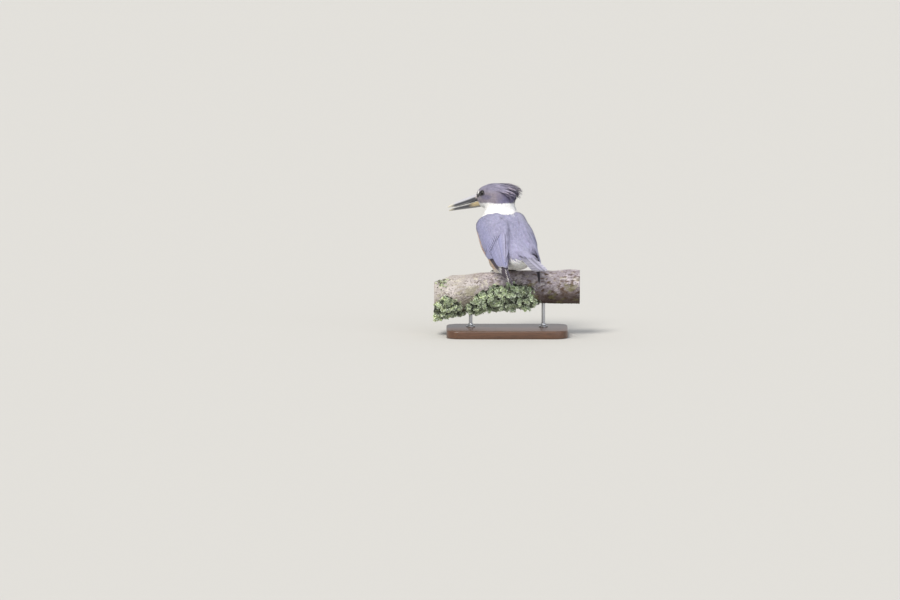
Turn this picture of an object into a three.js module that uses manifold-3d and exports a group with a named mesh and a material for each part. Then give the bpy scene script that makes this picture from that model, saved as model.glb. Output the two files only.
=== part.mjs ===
// Belted kingfisher (female), life size, perched on a cut length of branch on a display stand.
//
// Units are millimetres, +Z up. The origin is the centre of the underside of the stand's base.
// The bird is drawn in its own body frame (x forward, y to its left, z up, origin on top of the
// branch under its feet) and the head in a head frame, turned to the left of the body.
// The branch and the feet on it are drawn round the same origin in the stand's directions.
// Every node is one closed solid, and neighbours keep a gap of GAP between their faces.

import * as THREE from "three";
import { mergeVertices } from "three/addons/utils/BufferGeometryUtils.js";
import Module from "manifold-3d";

const wasm = await Module();
wasm.setup();
const V = (x, y, z) => new THREE.Vector3(x, y, z);
const mix = THREE.MathUtils.lerp;
const smooth = (from, to, x) => THREE.MathUtils.smoothstep(x, from, to);

// ---------------------------------------------------------------- driving dimensions
const GAP = 0.3; // between the faces of two nodes
const VANE_THICK = 0.55; // a feather's vane in the solids

const BODY_HEADING = 114; // degrees from +X to the bird's forward direction
const HEAD_TURN = 41; // degrees the head is turned to the bird's left
const HEAD_AT = V(35, 4, 124); // head centre in the body frame
const BILL_LENGTH = 58.5; // culmen, from the forehead feathers to the tip
const EYE_RADIUS = 4.9;
const TAIL_LENGTH = 88; // of the longest tail feathers, from their roots
const TAIL_DROOP = 18.4; // degrees below level

const PERCH = { radius: 28.5, length: 240, y: 4 }; // y: its middle, from the bird's origin
const BASE = { length: 200, width: 124, thick: 13, corner: 22, bevel: 2, y: -8 }; // y likewise
const ROD = { radius: 3, spacing: 120, clear: 36, sunk: 9, inBase: 6 }; // clear: above the base

// Rows of the body, from the tail root to the top of the neck:
// dorsal x, z; ventral x, z; half width. Each row is an upright ring through those two points.
const BODY_ROWS = [
  [-73, 32, -74, 18, 9],
  [-62, 40, -66, 11, 15.5],
  [-50, 50, -57, 6.5, 21.5],
  [-37, 64, -42, 4, 28],
  [-23, 79, -15, 3, 35],
  [-11, 90, 19, 5, 39],
  [-4, 97, 46, 22, 40],
  [0, 101, 61, 50, 38],
  [2, 105, 61, 76, 31.5],
  [3, 110, 54, 95, 26],
  [5, 117, 51, 107, 24],
  [9, 126, 47, 118, 20],
];
const THIGH = { at: V(12, 13.5, 18), reach: V(14, 11, 15) }; // feathered tuft round each shank
const COLLAR_BASE = 0.665; // where the torso ends and the collared neck begins, along the rows
const COLLAR_TOP = 0.855; // where the neck ends and the head begins

// Rows of the head, from the bill's base to the nape, in the head frame.
const HEAD_ROWS = [
  [36, -2, 32, -18.5, 5.4],
  [34, 4, 29, -20.5, 7.8],
  [29, 10, 25, -22.5, 11.4],
  [20, 15, 18, -24.5, 16.4],
  [8, 18.5, 10, -27, 19],
  [-4, 19.4, 0, -28, 20.4],
  [-16, 17.2, -10, -27, 20.4],
  [-27, 10, -20, -23, 17.5],
  [-33, 1, -29, -15, 11],
  [-35, -4, -33, -10, 4],
];

// Rows of the folded left wing, from the shoulder to the wing tip: the lower (leading) edge, the
// upper (back) edge and how far the wing bulges outwards between them.
const WING_ROWS = [
  [0.0, 33, 31, 79, 11, 15, 90, 2],
  [0.15, 33, 40, 69, 0, 12, 87, 6],
  [0.35, 11, 42, 47, -15, 10, 82, 11],
  [0.55, -11, 39, 24, -31, 12, 67, 12],
  [0.75, -38, 33, 4, -47, 18, 45, 8],
  [0.9, -60, 27, -9, -60, 24, 25, 4],
  [1.0, -75, 22, -20, -72, 24, 9, 2],
  [1.1, -88, 17, -27, -82, 22, -3, 1],
];

// ---------------------------------------------------------------- solids from points
const manifoldOf = (vertProperties, triVerts) =>
  new wasm.Manifold(new wasm.Mesh({ numProp: 3, vertProperties, triVerts }));

// A closed solid from points and triangles, turned to face outwards.
function solidOf(points, faces) {
  const coordinates = new Float32Array(points.flatMap((p) => [p.x, p.y, p.z]));
  const made = manifoldOf(coordinates, new Uint32Array(faces.flat()));
  if (made.volume() > 0) return made;
  const turned = faces.map(([a, b, c]) => [a, c, b]);
  return manifoldOf(coordinates, new Uint32Array(turned.flat()));
}

function solidOfGeometry(geometry) {
  const plain = geometry.clone();
  plain.deleteAttribute("normal");
  plain.deleteAttribute("uv");
  const merged = mergeVertices(plain, 1e-3);
  return manifoldOf(merged.attributes.position.array, new Uint32Array(merged.index.array));
}

function geometryOf(solid) {
  const mesh = solid.getMesh();
  const points = new Float32Array(mesh.numVert * 3);
  for (let i = 0; i < mesh.numVert; i++)
    points.set(mesh.vertProperties.subarray(i * mesh.numProp, i * mesh.numProp + 3), i * 3);
  return new THREE.BufferGeometry()
    .setAttribute("position", new THREE.BufferAttribute(points, 3))
    .setIndex(new THREE.BufferAttribute(new Uint32Array(mesh.triVerts), 1));
}

const joined = (solids) => wasm.Manifold.union(solids);
const mirrorY = (solid) => solid.scale([1, -1, 1]);
const moved = (solid, by) => solid.translate([by.x, by.y, by.z]);

// The largest closed surface of a solid, with any sealed hollow filled and any scrap dropped.
const largest = (solid) =>
  solid.decompose().reduce((best, piece) => (piece.volume() > best.volume() ? piece : best));

// A skin over rings of points, closed at both ends.
function loft(rings) {
  const count = rings[0].length;
  const points = rings.flat();
  const faces = [];
  for (let i = 0; i + 1 < rings.length; i++)
    for (let k = 0; k < count; k++) {
      const next = (k + 1) % count;
      const [a, b] = [i * count + k, i * count + next];
      faces.push([a, b, b + count], [a, b + count, a + count]);
    }
  for (const ring of [0, rings.length - 1]) {
    const centre = points.length;
    points.push(rings[ring].reduce((sum, p) => sum.add(p), V(0, 0, 0)).divideScalar(count));
    for (let k = 0; k < count; k++) {
      const [a, b] = [ring * count + k, ring * count + ((k + 1) % count)];
      faces.push(ring ? [centre, a, b] : [centre, b, a]);
    }
  }
  return solidOf(points, faces);
}

// A smooth curve through rows of numbers; s runs from 0 at the first row to 1 at the last.
function alongRows(rows, s) {
  const place = THREE.MathUtils.clamp(s, 0, 1) * (rows.length - 1);
  const i = Math.min(Math.floor(place), rows.length - 2);
  const t = place - i;
  const row = (k) => rows[THREE.MathUtils.clamp(k, 0, rows.length - 1)];
  return row(i).map((_, n) => {
    const [p0, p1, p2, p3] = [row(i - 1)[n], row(i)[n], row(i + 1)[n], row(i + 2)[n]];
    const bend = (2 * p0 - 5 * p1 + 4 * p2 - p3) * t * t;
    return 0.5 * (2 * p1 + (p2 - p0) * t + bend + (3 * p1 - p0 - 3 * p2 + p3) * t * t * t);
  });
}

// ---------------------------------------------------------------- body and head form
// A point on a bird's trunk or head: s along the rows, angle from the back (0) over its left side.
function ringPoint(rows, s, angle, grow = 0) {
  const [dorsalX, dorsalZ, ventralX, ventralZ, halfWidth] = alongRows(rows, s);
  const halfDepth = Math.hypot(dorsalX - ventralX, dorsalZ - ventralZ) / 2;
  const reach = ((halfDepth + grow) / halfDepth) * Math.cos(angle);
  const x = (dorsalX + ventralX) / 2 + ((dorsalX - ventralX) / 2) * reach;
  const z = (dorsalZ + ventralZ) / 2 + ((dorsalZ - ventralZ) / 2) * reach;
  return V(x, (halfWidth + grow) * Math.sin(angle), z);
}

function ringedForm(rows, lengthSteps, roundSteps, grow = 0) {
  const rings = [];
  for (let i = 0; i <= lengthSteps; i++) {
    const ring = [];
    for (let k = 0; k < roundSteps; k++)
      ring.push(ringPoint(rows, i / lengthSteps, (k / roundSteps) * 2 * Math.PI, grow));
    rings.push(ring);
  }
  return loft(rings);
}

const BODY_STEPS = [26, 26]; // rings along, and points round each
const HEAD_STEPS = [18, 22];

// From the head frame to the body frame.
const inBody = (solid) => moved(solid.rotate([0, 0, HEAD_TURN]), HEAD_AT);

function thigh(side, grow) {
  const { at, reach } = THIGH;
  return solidOfGeometry(new THREE.SphereGeometry(1, 14, 10))
    .scale([reach.x + grow, reach.y + grow, reach.z + grow])
    .translate([at.x, side * at.y, at.z]);
}

const fleshOf = (grow) =>
  joined([
    ringedForm(BODY_ROWS, ...BODY_STEPS, grow),
    inBody(ringedForm(HEAD_ROWS, ...HEAD_STEPS, grow)),
    thigh(1, grow),
    thigh(-1, grow),
  ]);
const flesh = fleshOf(0);
const fleshGrown = fleshOf(GAP);

// All that lies above (side 1) or below (side -1) the body's ring at s, less half the gap.
const BLOCK = 300; // larger than the body
function beyond(s, side) {
  const [dorsalX, dorsalZ, ventralX, ventralZ] = alongRows(BODY_ROWS, s);
  const tilt = THREE.MathUtils.radToDeg(Math.atan2(dorsalZ - ventralZ, ventralX - dorsalX));
  const middle = V((dorsalX + ventralX) / 2, 0, (dorsalZ + ventralZ) / 2);
  const block = solidOfGeometry(new THREE.BoxGeometry(BLOCK, BLOCK, BLOCK));
  return moved(block.translate([0, 0, (side * (BLOCK + GAP)) / 2]).rotate([0, tilt, 0]), middle);
}

// ---------------------------------------------------------------- feather vanes
// A vane from its stations: each has its place, the direction across it, and its two half widths.
// Both faces are split into triangles the same way, so a thin bent vane doesn't cross itself.
function vane(stations, thick = VANE_THICK) {
  const points = [];
  for (const { at, across, up, outer, inner, thin = 1 } of stations) {
    const lift = up.clone().multiplyScalar((thick * thin) / 2);
    const left = at.clone().addScaledVector(across, -inner);
    const right = at.clone().addScaledVector(across, outer);
    points.push(left.clone().add(lift), right.clone().add(lift));
    points.push(right.sub(lift), left.sub(lift));
  }
  const faces = [];
  for (let i = 0; i + 1 < stations.length; i++) {
    const [a, b] = [i * 4, i * 4 + 4];
    faces.push([a, a + 1, b + 1], [a, b + 1, b]);
    faces.push([a + 3, b + 2, a + 2], [a + 3, b + 3, b + 2]);
    faces.push([a, b, b + 3], [a, b + 3, a + 3]);
    faces.push([a + 1, a + 2, b + 2], [a + 1, b + 2, b + 1]);
  }
  const end = (stations.length - 1) * 4;
  faces.push([0, 3, 2], [0, 2, 1], [end, end + 1, end + 2], [end, end + 2, end + 3]);
  return solidOf(points, faces);
}

// Outline of a feather: half width as a share of its widest, from root (0) to tip (1), where it
// is rounded down to the share blunt.
function featherWidth(t, blunt) {
  const rounding = Math.max(0, (t - 0.8) / 0.2) ** 1.8;
  return mix(0.45, 1, smooth(0, 0.35, t)) * mix(1, blunt, rounding);
}

// ---------------------------------------------------------------- folded wing surface
// Points and normals of the trunk, for keeping the wing outside it.
const TRUNK_SAMPLES = [];
for (let i = 0; i <= 60; i++)
  for (let k = 0; k <= 30; k++) {
    const [s, angle] = [i / 60, (k / 30) * Math.PI];
    const at = ringPoint(BODY_ROWS, s, angle);
    const along = ringPoint(BODY_ROWS, s + 0.01, angle).sub(ringPoint(BODY_ROWS, s - 0.01, angle));
    const round = ringPoint(BODY_ROWS, s, angle + 0.02).sub(ringPoint(BODY_ROWS, s, angle - 0.02));
    const normal = round.cross(along).normalize();
    const out = at.clone().sub(ringPoint(BODY_ROWS, s, angle, -4));
    TRUNK_SAMPLES.push({ at, normal: normal.dot(out) < 0 ? normal.negate() : normal });
  }

// Moves a point out to at least clear from the trunk's surface.
function outsideTrunk(point, clear) {
  let [best, nearest] = [Infinity, null];
  for (const sample of TRUNK_SAMPLES) {
    const distance = sample.at.distanceToSquared(point);
    if (distance < best) [best, nearest] = [distance, sample];
  }
  const height = point.clone().sub(nearest.at).dot(nearest.normal);
  return height < clear ? point.addScaledVector(nearest.normal, clear - height) : point;
}

const WING_CLEAR = 0.9; // from the trunk to the wing's inner sheet
const WING_LIE = V(-0.77, 0, -0.64); // the way the folded wing points
const SHEET = { along: 33, across: 18, end: WING_ROWS.at(-1)[0] }; // its grid, and its last row

// The wing's edges and bulge at a, between the rows on either side of it.
function wingEdges(a) {
  let i = 0;
  while (i < WING_ROWS.length - 2 && a > WING_ROWS[i + 1][0]) i++;
  const t = (a - WING_ROWS[i][0]) / (WING_ROWS[i + 1][0] - WING_ROWS[i][0]);
  return alongRows(WING_ROWS, (i + t) / (WING_ROWS.length - 1)).slice(1);
}

function designedWing(a, b) {
  const [lowX, lowY, lowZ, highX, highY, highZ, bulge] = wingEdges(a);
  const [low, high] = [V(lowX, lowY, lowZ), V(highX, highY, highZ)];
  const out = high.clone().sub(low).cross(WING_LIE).normalize();
  if (out.y < 0) out.negate();
  return low.lerp(high, b).addScaledVector(out, bulge * 4 * b * (1 - b));
}

// The sheet as a grid of points, pushed clear of the trunk and then smoothed, three times.
const sheetGrid = [];
for (let i = 0; i <= SHEET.along; i++) {
  const row = [];
  for (let k = 0; k <= SHEET.across; k++) {
    const designed = designedWing((i / SHEET.along) * SHEET.end, k / SHEET.across);
    row.push(outsideTrunk(designed, WING_CLEAR));
  }
  sheetGrid.push(row);
}
for (let pass = 0; pass < 3; pass++)
  for (let i = 1; i < SHEET.along; i++)
    for (let k = 1; k < SHEET.across; k++) {
      const mean = V(0, 0, 0);
      for (const [di, dk] of [[-1, 0], [1, 0], [0, -1], [0, 1]])
        mean.addScaledVector(sheetGrid[i + di][k + dk], 0.25);
      sheetGrid[i][k] = outsideTrunk(sheetGrid[i][k].clone().lerp(mean, 0.6), WING_CLEAR);
    }

// The wing's inner sheet: a from the shoulder (0) to the tip (1), b from the lower edge (0) to the
// back (1).
function wingSheet(a, b) {
  const [u, v] = [(a / SHEET.end) * SHEET.along, b * SHEET.across];
  const i = THREE.MathUtils.clamp(Math.floor(u), 0, SHEET.along - 1);
  const k = THREE.MathUtils.clamp(Math.floor(v), 0, SHEET.across - 1);
  const low = sheetGrid[i][k].clone().lerp(sheetGrid[i][k + 1], v - k);
  const high = sheetGrid[i + 1][k].clone().lerp(sheetGrid[i + 1][k + 1], v - k);
  return low.lerp(high, u - i);
}

function wingFrame(a, b) {
  const along = wingSheet(a + 0.03, b).sub(wingSheet(a - 0.03, b)).normalize();
  const across = wingSheet(a, b + 0.05).sub(wingSheet(a, b - 0.05)).normalize();
  const up = along.clone().cross(across).normalize();
  if (up.y < 0) up.negate();
  return { at: wingSheet(a, b), up };
}

// One vane on the wing: root and tip as [a, b], half widths towards the lower edge (outer) and the
// back (inner), height above the sheet at the root (sunk) and beyond, and slope across.
function wingVane({ root, tip, outer, inner, sunk, height, tilt, steps, blunt = 0.3 }) {
  const stations = [];
  for (let i = 0; i <= steps; i++) {
    const t = i / steps;
    const [a, b] = [mix(root[0], tip[0], t), mix(root[1], tip[1], t)];
    const here = wingFrame(a, b);
    const ahead = wingSheet(a + 0.02, b + (0.02 * (tip[1] - root[1])) / (tip[0] - root[0]));
    const along = ahead.sub(here.at).normalize();
    const across = here.up.clone().cross(along).normalize();
    if (across.dot(wingSheet(a, b - 0.1).sub(here.at)) < 0) across.negate();
    across.addScaledVector(here.up, tilt).normalize();
    const up = along.cross(across).normalize();
    if (up.dot(here.up) < 0) up.negate();
    const share = featherWidth(t, blunt);
    const at = here.at.addScaledVector(here.up, mix(sunk, height, smooth(0, 0.3, t)));
    stations.push({ at, across, up, outer: outer * share, inner: inner * share, thin: mix(1, 0.7, t) });
  }
  return vane(stations);
}

// The wing's flesh and small coverts: a plate that is thickest towards its lower edge, with the
// shoulder and the back edge drawn down to the trunk.
const WING_CORE = { from: 0.02, to: 0.46, steps: 10, thick: 4.4, thin: 2.0 };
function wingCore() {
  const rings = [];
  const shares = [0, 0.07, 0.24, 0.42, 0.6, 0.78, 0.93, 1];
  for (let i = 0; i <= WING_CORE.steps; i++) {
    const t = i / WING_CORE.steps;
    const a = mix(WING_CORE.from, WING_CORE.to, t);
    const shoulder = smooth(-0.12, 0.3, t);
    const end = 1 - smooth(0.8, 1.1, t);
    const [low, high] = [mix(0.3, 0.015, shoulder), mix(0.66, 0.98, shoulder)];
    const level = (share) => {
      const round = Math.sqrt(Math.max(0, 1 - Math.abs(2 * share - 1) ** 5));
      const back = mix(1, 0.45, smooth(0.5, 1, share));
      return 0.6 + mix(WING_CORE.thick, WING_CORE.thin, t) * round * back * shoulder * mix(0.4, 1, end);
    };
    const over = shares.map((share) => {
      const { at, up } = wingFrame(a, mix(low, high, share));
      return at.addScaledVector(up, level(share));
    });
    const under = [...shares].reverse().slice(1, -1).map((share) => {
      const { at, up } = wingFrame(a, mix(low, high, share));
      return at.addScaledVector(up, -0.35);
    });
    rings.push([...over, ...under]);
  }
  return loft(rings);
}

// A tier of n vanes from the back outwards; place(i, k) gives each vane's root, tip and size, with
// k running from 0 to 1.
const tier = (n, place) => Array.from({ length: n }, (_, i) => wingVane(place(i, i / (n - 1))));

function wingFeathers() {
  const primaries = tier(6, (i, k) => ({
    root: [0.41, mix(0.56, 0.1, k)],
    tip: [1.01 - 0.012 * (i - 3) ** 2, mix(0.72, 0.1, k ** 0.9)],
    outer: 3.3,
    inner: 5.8,
    height: 3.1 - 0.47 * i,
    sunk: 0.9,
    tilt: 0.12,
    steps: 5,
    blunt: 0.16,
  }));
  const secondaries = tier(6, (i, k) => ({
    root: [0.38, mix(0.88, 0.38, k)],
    tip: [mix(0.94, 0.8, k), mix(0.84, 0.32, k)],
    outer: 3.6,
    inner: 4.6,
    height: 5.4 - 0.34 * i,
    sunk: 2.0,
    tilt: 0.13,
    steps: 4,
  }));
  const tertials = tier(3, (i, k) => ({
    root: [0.36, mix(0.92, 0.8, k)],
    tip: [mix(0.86, 0.92, k), mix(0.92, 0.8, k)],
    outer: 4.4,
    inner: 3.4,
    height: 6.9 - 0.5 * i,
    sunk: 1.6,
    tilt: 0.1,
    steps: 4,
  }));
  const primaryCoverts = tier(3, (i, k) => ({
    root: [0.36, mix(0.32, 0.1, k)],
    tip: [mix(0.66, 0.6, k), mix(0.25, 0.08, k)],
    outer: 3.2,
    inner: 4.6,
    height: 3.8 - 0.5 * i,
    sunk: 1.4,
    tilt: 0.12,
    steps: 3,
  }));
  const greaterCoverts = tier(6, (i, k) => ({
    root: [0.3, mix(0.84, 0.32, k)],
    tip: [mix(0.55, 0.6, k), mix(0.82, 0.32, k)],
    outer: 4.2,
    inner: 5.0,
    height: 6.6 - 0.38 * i,
    sunk: 1.8,
    tilt: 0.12,
    steps: 3,
  }));
  const medianCoverts = tier(6, (i, k) => ({
    root: [0.18, mix(0.82, 0.14, k)],
    tip: [mix(0.4, 0.38, k), mix(0.82, 0.14, k)],
    outer: 4.2,
    inner: 5.0,
    height: 7.6 - 0.3 * i,
    sunk: 2.4,
    tilt: 0.12,
    steps: 3,
  }));
  return [primaries, secondaries, tertials, primaryCoverts, greaterCoverts, medianCoverts].flat();
}

const wingLeft = largest(joined([wingCore(), ...wingFeathers()]).subtract(fleshGrown));

// ---------------------------------------------------------------- tail
const TAIL_ROOT = V(-50, 0, 40.5); // where the tail feathers start, on the upper side
const TAIL_SWING = 2.5; // degrees, towards the bird's right
// From the tail frame (x back along the tail, y to the bird's right, z up) to the body frame.
const fromTail = (solid) =>
  moved(solid.rotate([0, 0, 180]).rotate([0, -TAIL_DROOP, TAIL_SWING]), TAIL_ROOT);

// One tail feather or covert: y and half widths are towards side (-1 or 1), from and to along x.
function tailVane({ side, from, to, rootY, tipY, outer, inner, height, tilt }) {
  const steps = 4;
  const across = V(0, side, tilt).normalize();
  const up = V(0, -side * tilt, 1).normalize();
  const stations = [];
  for (let i = 0; i <= steps; i++) {
    const t = i / steps;
    const share = featherWidth(t, 0.42);
    const at = V(mix(from, to, t), side * mix(rootY, tipY, t), height);
    stations.push({ at, across, up, outer: outer * share, inner: inner * share, thin: mix(1, 0.75, t) });
  }
  return vane(stations);
}

// The middle pair lies on top, and each further pair lies under the one inside it.
function tailFeathers() {
  const middle = { side: 1, from: 20, inner: 5.9, outer: 5.9, tilt: 0 };
  const pieces = [
    tailVane({ ...middle, rootY: 0, tipY: 0, to: TAIL_LENGTH - 1, height: 1.9 }),
    tailVane({ ...middle, rootY: 0.6, tipY: 1.2, to: TAIL_LENGTH, height: 0.95 }),
  ];
  for (const side of [-1, 1])
    for (let j = 1; j <= 5; j++) {
      const [rootY, tipY] = [1.6 + 1.15 * j, 2.4 + 1.9 * j];
      const inner = Math.min(6.2, tipY - 0.3);
      const to = TAIL_LENGTH - 0.35 * j * j;
      const height = 0.35 - 0.55 * j;
      pieces.push(tailVane({ side, from: 20, to, rootY, tipY, outer: 4, inner, height, tilt: 0.17 }));
    }
  return pieces;
}

// Short vanes over the tail's root: three pairs above and three longer pairs below.
function tailCoverts() {
  const pieces = [];
  for (const side of [-1, 1])
    for (let j = 0; j < 3; j++) {
      const above = { from: 10, to: 47 - 3.5 * j, rootY: 1 + 3 * j, tipY: 2.8 + 3.4 * j };
      const below = { from: 14, to: 60 - 5 * j, rootY: 1.2 + 2.8 * j, tipY: 2.6 + 3 * j };
      pieces.push(
        tailVane({ side, ...above, outer: 3.4, inner: 2.2, height: 4.3 - 0.8 * j, tilt: -0.2 }),
        tailVane({ side, ...below, outer: 3.6, inner: 2.2, height: 1.1 * j - 6.6, tilt: 0.25 }),
      );
    }
  return pieces;
}

// The fleshy root and the down round it, which the feathers grow from: x, top, bottom, half width.
const TAIL_ROOT_ROWS = [
  [8, 2.4, -16, 9.5],
  [18, 3, -16, 10.5],
  [28, 3.2, -13, 10.8],
  [37, 2.6, -9, 10],
  [46, 1.4, -5, 8],
];
function tailRoot() {
  const [steps, sides] = [6, 14];
  const rings = [];
  for (let i = 0; i <= steps; i++) {
    const [x, top, bottom, half] = alongRows(TAIL_ROOT_ROWS, i / steps);
    const [middle, depth] = [(top + bottom) / 2, (top - bottom) / 2];
    const ring = [];
    for (let k = 0; k < sides; k++) {
      const angle = (k / sides) * 2 * Math.PI;
      ring.push(V(x, half * Math.sin(angle), middle + depth * Math.cos(angle)));
    }
    rings.push(ring);
  }
  return loft(rings);
}

const tailForm = joined([tailRoot(), ...tailFeathers(), ...tailCoverts()]);
const tail = largest(fromTail(tailForm).subtract(fleshGrown));

// ---------------------------------------------------------------- bill
const BILL_BASE_X = 30; // in the head frame, hidden under the forehead feathers
// Rows of the upper half: x, ridge z, cutting-edge z, half width at the cutting edge.
const UPPER_BILL_ROWS = [
  [BILL_BASE_X - 5, 2.4, -9.6, 8.8],
  [BILL_BASE_X + 3, 0.2, -11.5, 7.2],
  [BILL_BASE_X + 12, -3.2, -14.5, 6.0],
  [BILL_BASE_X + 20, -6.5, -17.2, 5.1],
  [BILL_BASE_X + 29, -10.2, -19.6, 4.2],
  [BILL_BASE_X + 40, -14.5, -22.7, 3.1],
  [BILL_BASE_X + 51, -19.4, -24.2, 1.9],
  [BILL_BASE_X + BILL_LENGTH - 0.8, -23.5, -25.3, 0.7],
];
// Rows of the lower half: x, cutting-edge z, keel z, half width.
const LOWER_BILL_ROWS = [
  [BILL_BASE_X - 5, -10.6, -20.8, 8.6],
  [BILL_BASE_X + 3, -13.0, -22.4, 6.9],
  [BILL_BASE_X + 12, -15.9, -24.0, 5.5],
  [BILL_BASE_X + 20, -18.3, -25.2, 4.5],
  [BILL_BASE_X + 30, -21.0, -26.8, 3.5],
  [BILL_BASE_X + 40, -23.7, -28.4, 2.6],
  [BILL_BASE_X + 50, -26.6, -30.2, 1.6],
  [BILL_BASE_X + 55.6, -29.6, -31.1, 0.7],
];

// Half of the bill: rounded outside, from the left cutting edge over the ridge or keel to the right
// one, and a little hollow inside.
function billHalf(rows, grow = 0) {
  const [steps, arc] = [16, 8];
  const upper = rows === UPPER_BILL_ROWS;
  const rings = [];
  for (let i = 0; i <= steps; i++) {
    const [x, top, bottom, width] = alongRows(rows, i / steps);
    const half = width + grow;
    const [ridge, edge] = upper ? [top + grow, bottom - grow] : [bottom - grow, top + grow];
    const depth = ridge - edge;
    const ring = [];
    for (let k = 0; k <= arc; k++) {
      const angle = (k / arc) * Math.PI;
      ring.push(V(x, half * Math.cos(angle), edge + depth * Math.sin(angle) ** 0.85));
    }
    for (const share of [-0.5, 0, 0.5])
      ring.push(V(x, half * share, edge + depth * 0.09 * (1 - share ** 2)));
    rings.push(ring);
  }
  return loft(rings);
}

// A nostril: a slit on each side near the base of the upper half, along the bill.
const NOSTRIL = { at: V(BILL_BASE_X + 7.5, 5.65, -7.2), radius: 0.6, length: 3.4, sides: 8 };
function nostril(side) {
  const { at, radius, length, sides } = NOSTRIL;
  const slit = solidOfGeometry(new THREE.CylinderGeometry(radius, radius, length, sides));
  return slit.rotate([0, 0, 90]).rotate([0, 21, 0]).translate([at.x, side * at.y, at.z]);
}

const upperBill = billHalf(UPPER_BILL_ROWS).subtract(joined([nostril(1), nostril(-1)]));
const lowerBill = billHalf(LOWER_BILL_ROWS);
const billGrown = billHalf(UPPER_BILL_ROWS, GAP).add(billHalf(LOWER_BILL_ROWS, GAP));

// The mouth's corner: a slit in the cheeks that narrows backwards from between the two halves.
const MOUTH = { cornerX: 22, cornerZ: -9.6, frontX: 44, highZ: -14.4, lowZ: -18.2, half: 18 };
function mouthSlit() {
  const side = new THREE.Shape();
  side.moveTo(MOUTH.cornerX, MOUTH.cornerZ);
  side.lineTo(MOUTH.frontX, MOUTH.lowZ);
  side.lineTo(MOUTH.frontX, MOUTH.highZ);
  const wedge = new THREE.ExtrudeGeometry(side, { depth: 2 * MOUTH.half, bevelEnabled: false });
  return solidOfGeometry(wedge).rotate([90, 0, 0]).translate([0, MOUTH.half, 0]);
}

// ---------------------------------------------------------------- eyes
const EYE_AT = V(18.6, 11.1, 2.3); // left eye's centre, head frame
const EYE_OUT = V(0.16, 0.975, 0.15).normalize(); // where the eye looks

const sphere = (radius, at, details) =>
  moved(solidOfGeometry(new THREE.SphereGeometry(radius, ...details)), at);
const eyeball = (side, grow = 0) =>
  sphere(EYE_RADIUS + grow, V(EYE_AT.x, side * EYE_AT.y, EYE_AT.z), [14, 9]);

// The left eye's lids: a low ring round the opening, a little longer than high.
const LIDS = { radius: 4.15, tube: 0.95, out: 2.75, shape: V(1.06, 0.94, 1) };
function eyelids() {
  const ring = new THREE.TorusGeometry(LIDS.radius, LIDS.tube, 5, 16);
  const turn = new THREE.Quaternion().setFromUnitVectors(V(0, 0, 1), EYE_OUT);
  const at = EYE_AT.clone().addScaledVector(EYE_OUT, LIDS.out);
  return solidOfGeometry(ring.applyMatrix4(new THREE.Matrix4().compose(at, turn, LIDS.shape)));
}

// ---------------------------------------------------------------- crest
// Feathers of the crown and nape, rooted in the head and swept back. Each row across the head has
// one feather in the middle and some pairs beside it.
const CREST_ROWS = [
  { x: 12, z: 15.6, length: 27, rise: -3, pairs: 1, spread: 0.43 },
  { x: 3, z: 17.4, length: 31, rise: 0, pairs: 1, spread: 0.48 },
  { x: -6, z: 17.4, length: 33, rise: 2, pairs: 2, spread: 0.39 },
  { x: -15, z: 14.8, length: 29, rise: -4, pairs: 2, spread: 0.4 },
  { x: -22, z: 9, length: 21, rise: -16, pairs: 2, spread: 0.44 },
];
const CREST_VANE = { half: 4.1, thick: 0.75, steps: 4, arch: 1.6 };
const CREST_AXIS_Z = -5; // the head's middle line there, which the rows bend round

// Where along the head's rows its back line lies at x.
function headPlace(x) {
  let [low, high] = [0, 1];
  for (let i = 0; i < 24; i++) {
    const middle = (low + high) / 2;
    if (alongRows(HEAD_ROWS, middle)[0] > x) low = middle;
    else high = middle;
  }
  return low;
}

// place is 0 in the middle, 1 and 2 to the left, -1 and -2 to the right. The sines are its shagginess.
function crestVane({ x, z, length, rise, spread }, place, row) {
  const headHalf = alongRows(HEAD_ROWS, headPlace(x))[4];
  const angle = place * spread;
  const up = V(0, Math.sin(angle), Math.cos(angle));
  const root = V(
    x - 1.2 * Math.abs(place),
    (headHalf - 1.2) * up.y,
    CREST_AXIS_Z + (z - CREST_AXIS_Z) * up.z - 0.4,
  );
  const pitch = rise - 4 * Math.abs(place) + 1.5 * Math.sin(7 * row + 3 * place);
  const lean = THREE.MathUtils.degToRad(pitch);
  const along = V(-Math.cos(lean), 0.11 * place, Math.sin(lean)).normalize();
  const across = along.clone().cross(up).normalize();
  const reach = length * (1 - 0.07 * Math.abs(place) + 0.05 * Math.sin(5 * row + 2 * place));
  const stations = [];
  for (let i = 0; i <= CREST_VANE.steps; i++) {
    const t = i / CREST_VANE.steps;
    const lift = CREST_VANE.arch * Math.sin(Math.PI * t) ** 1.2 + 0.6 * t - 0.9;
    const at = root.clone().addScaledVector(along, reach * t).addScaledVector(up, lift);
    const half = CREST_VANE.half * mix(0.5, 1, smooth(0, 0.3, t)) * mix(1, 0.14, t ** 2.6);
    stations.push({ at, across, up, outer: half, inner: half, thin: mix(1.25, 0.8, t) });
  }
  return vane(stations, CREST_VANE.thick);
}

const crest = CREST_ROWS.flatMap((row, n) => {
  const vanes = [];
  for (let place = -row.pairs; place <= row.pairs; place++) vanes.push(crestVane(row, place, n));
  return vanes;
});

// ---------------------------------------------------------------- head and neck
const lids = eyelids();
const headDress = inBody(joined([...crest, lids, mirrorY(lids)]));
const billAndEyes = inBody(joined([billGrown, eyeball(1, GAP), eyeball(-1, GAP)]));
const headFlesh = flesh.intersect(beyond(COLLAR_TOP, 1)).subtract(inBody(mouthSlit()));
const head = largest(headFlesh.add(headDress).subtract(billAndEyes));
const neckBlock = beyond(COLLAR_BASE, 1).intersect(beyond(COLLAR_TOP, -1));
const neck = largest(flesh.intersect(neckBlock).subtract(billAndEyes));

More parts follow.
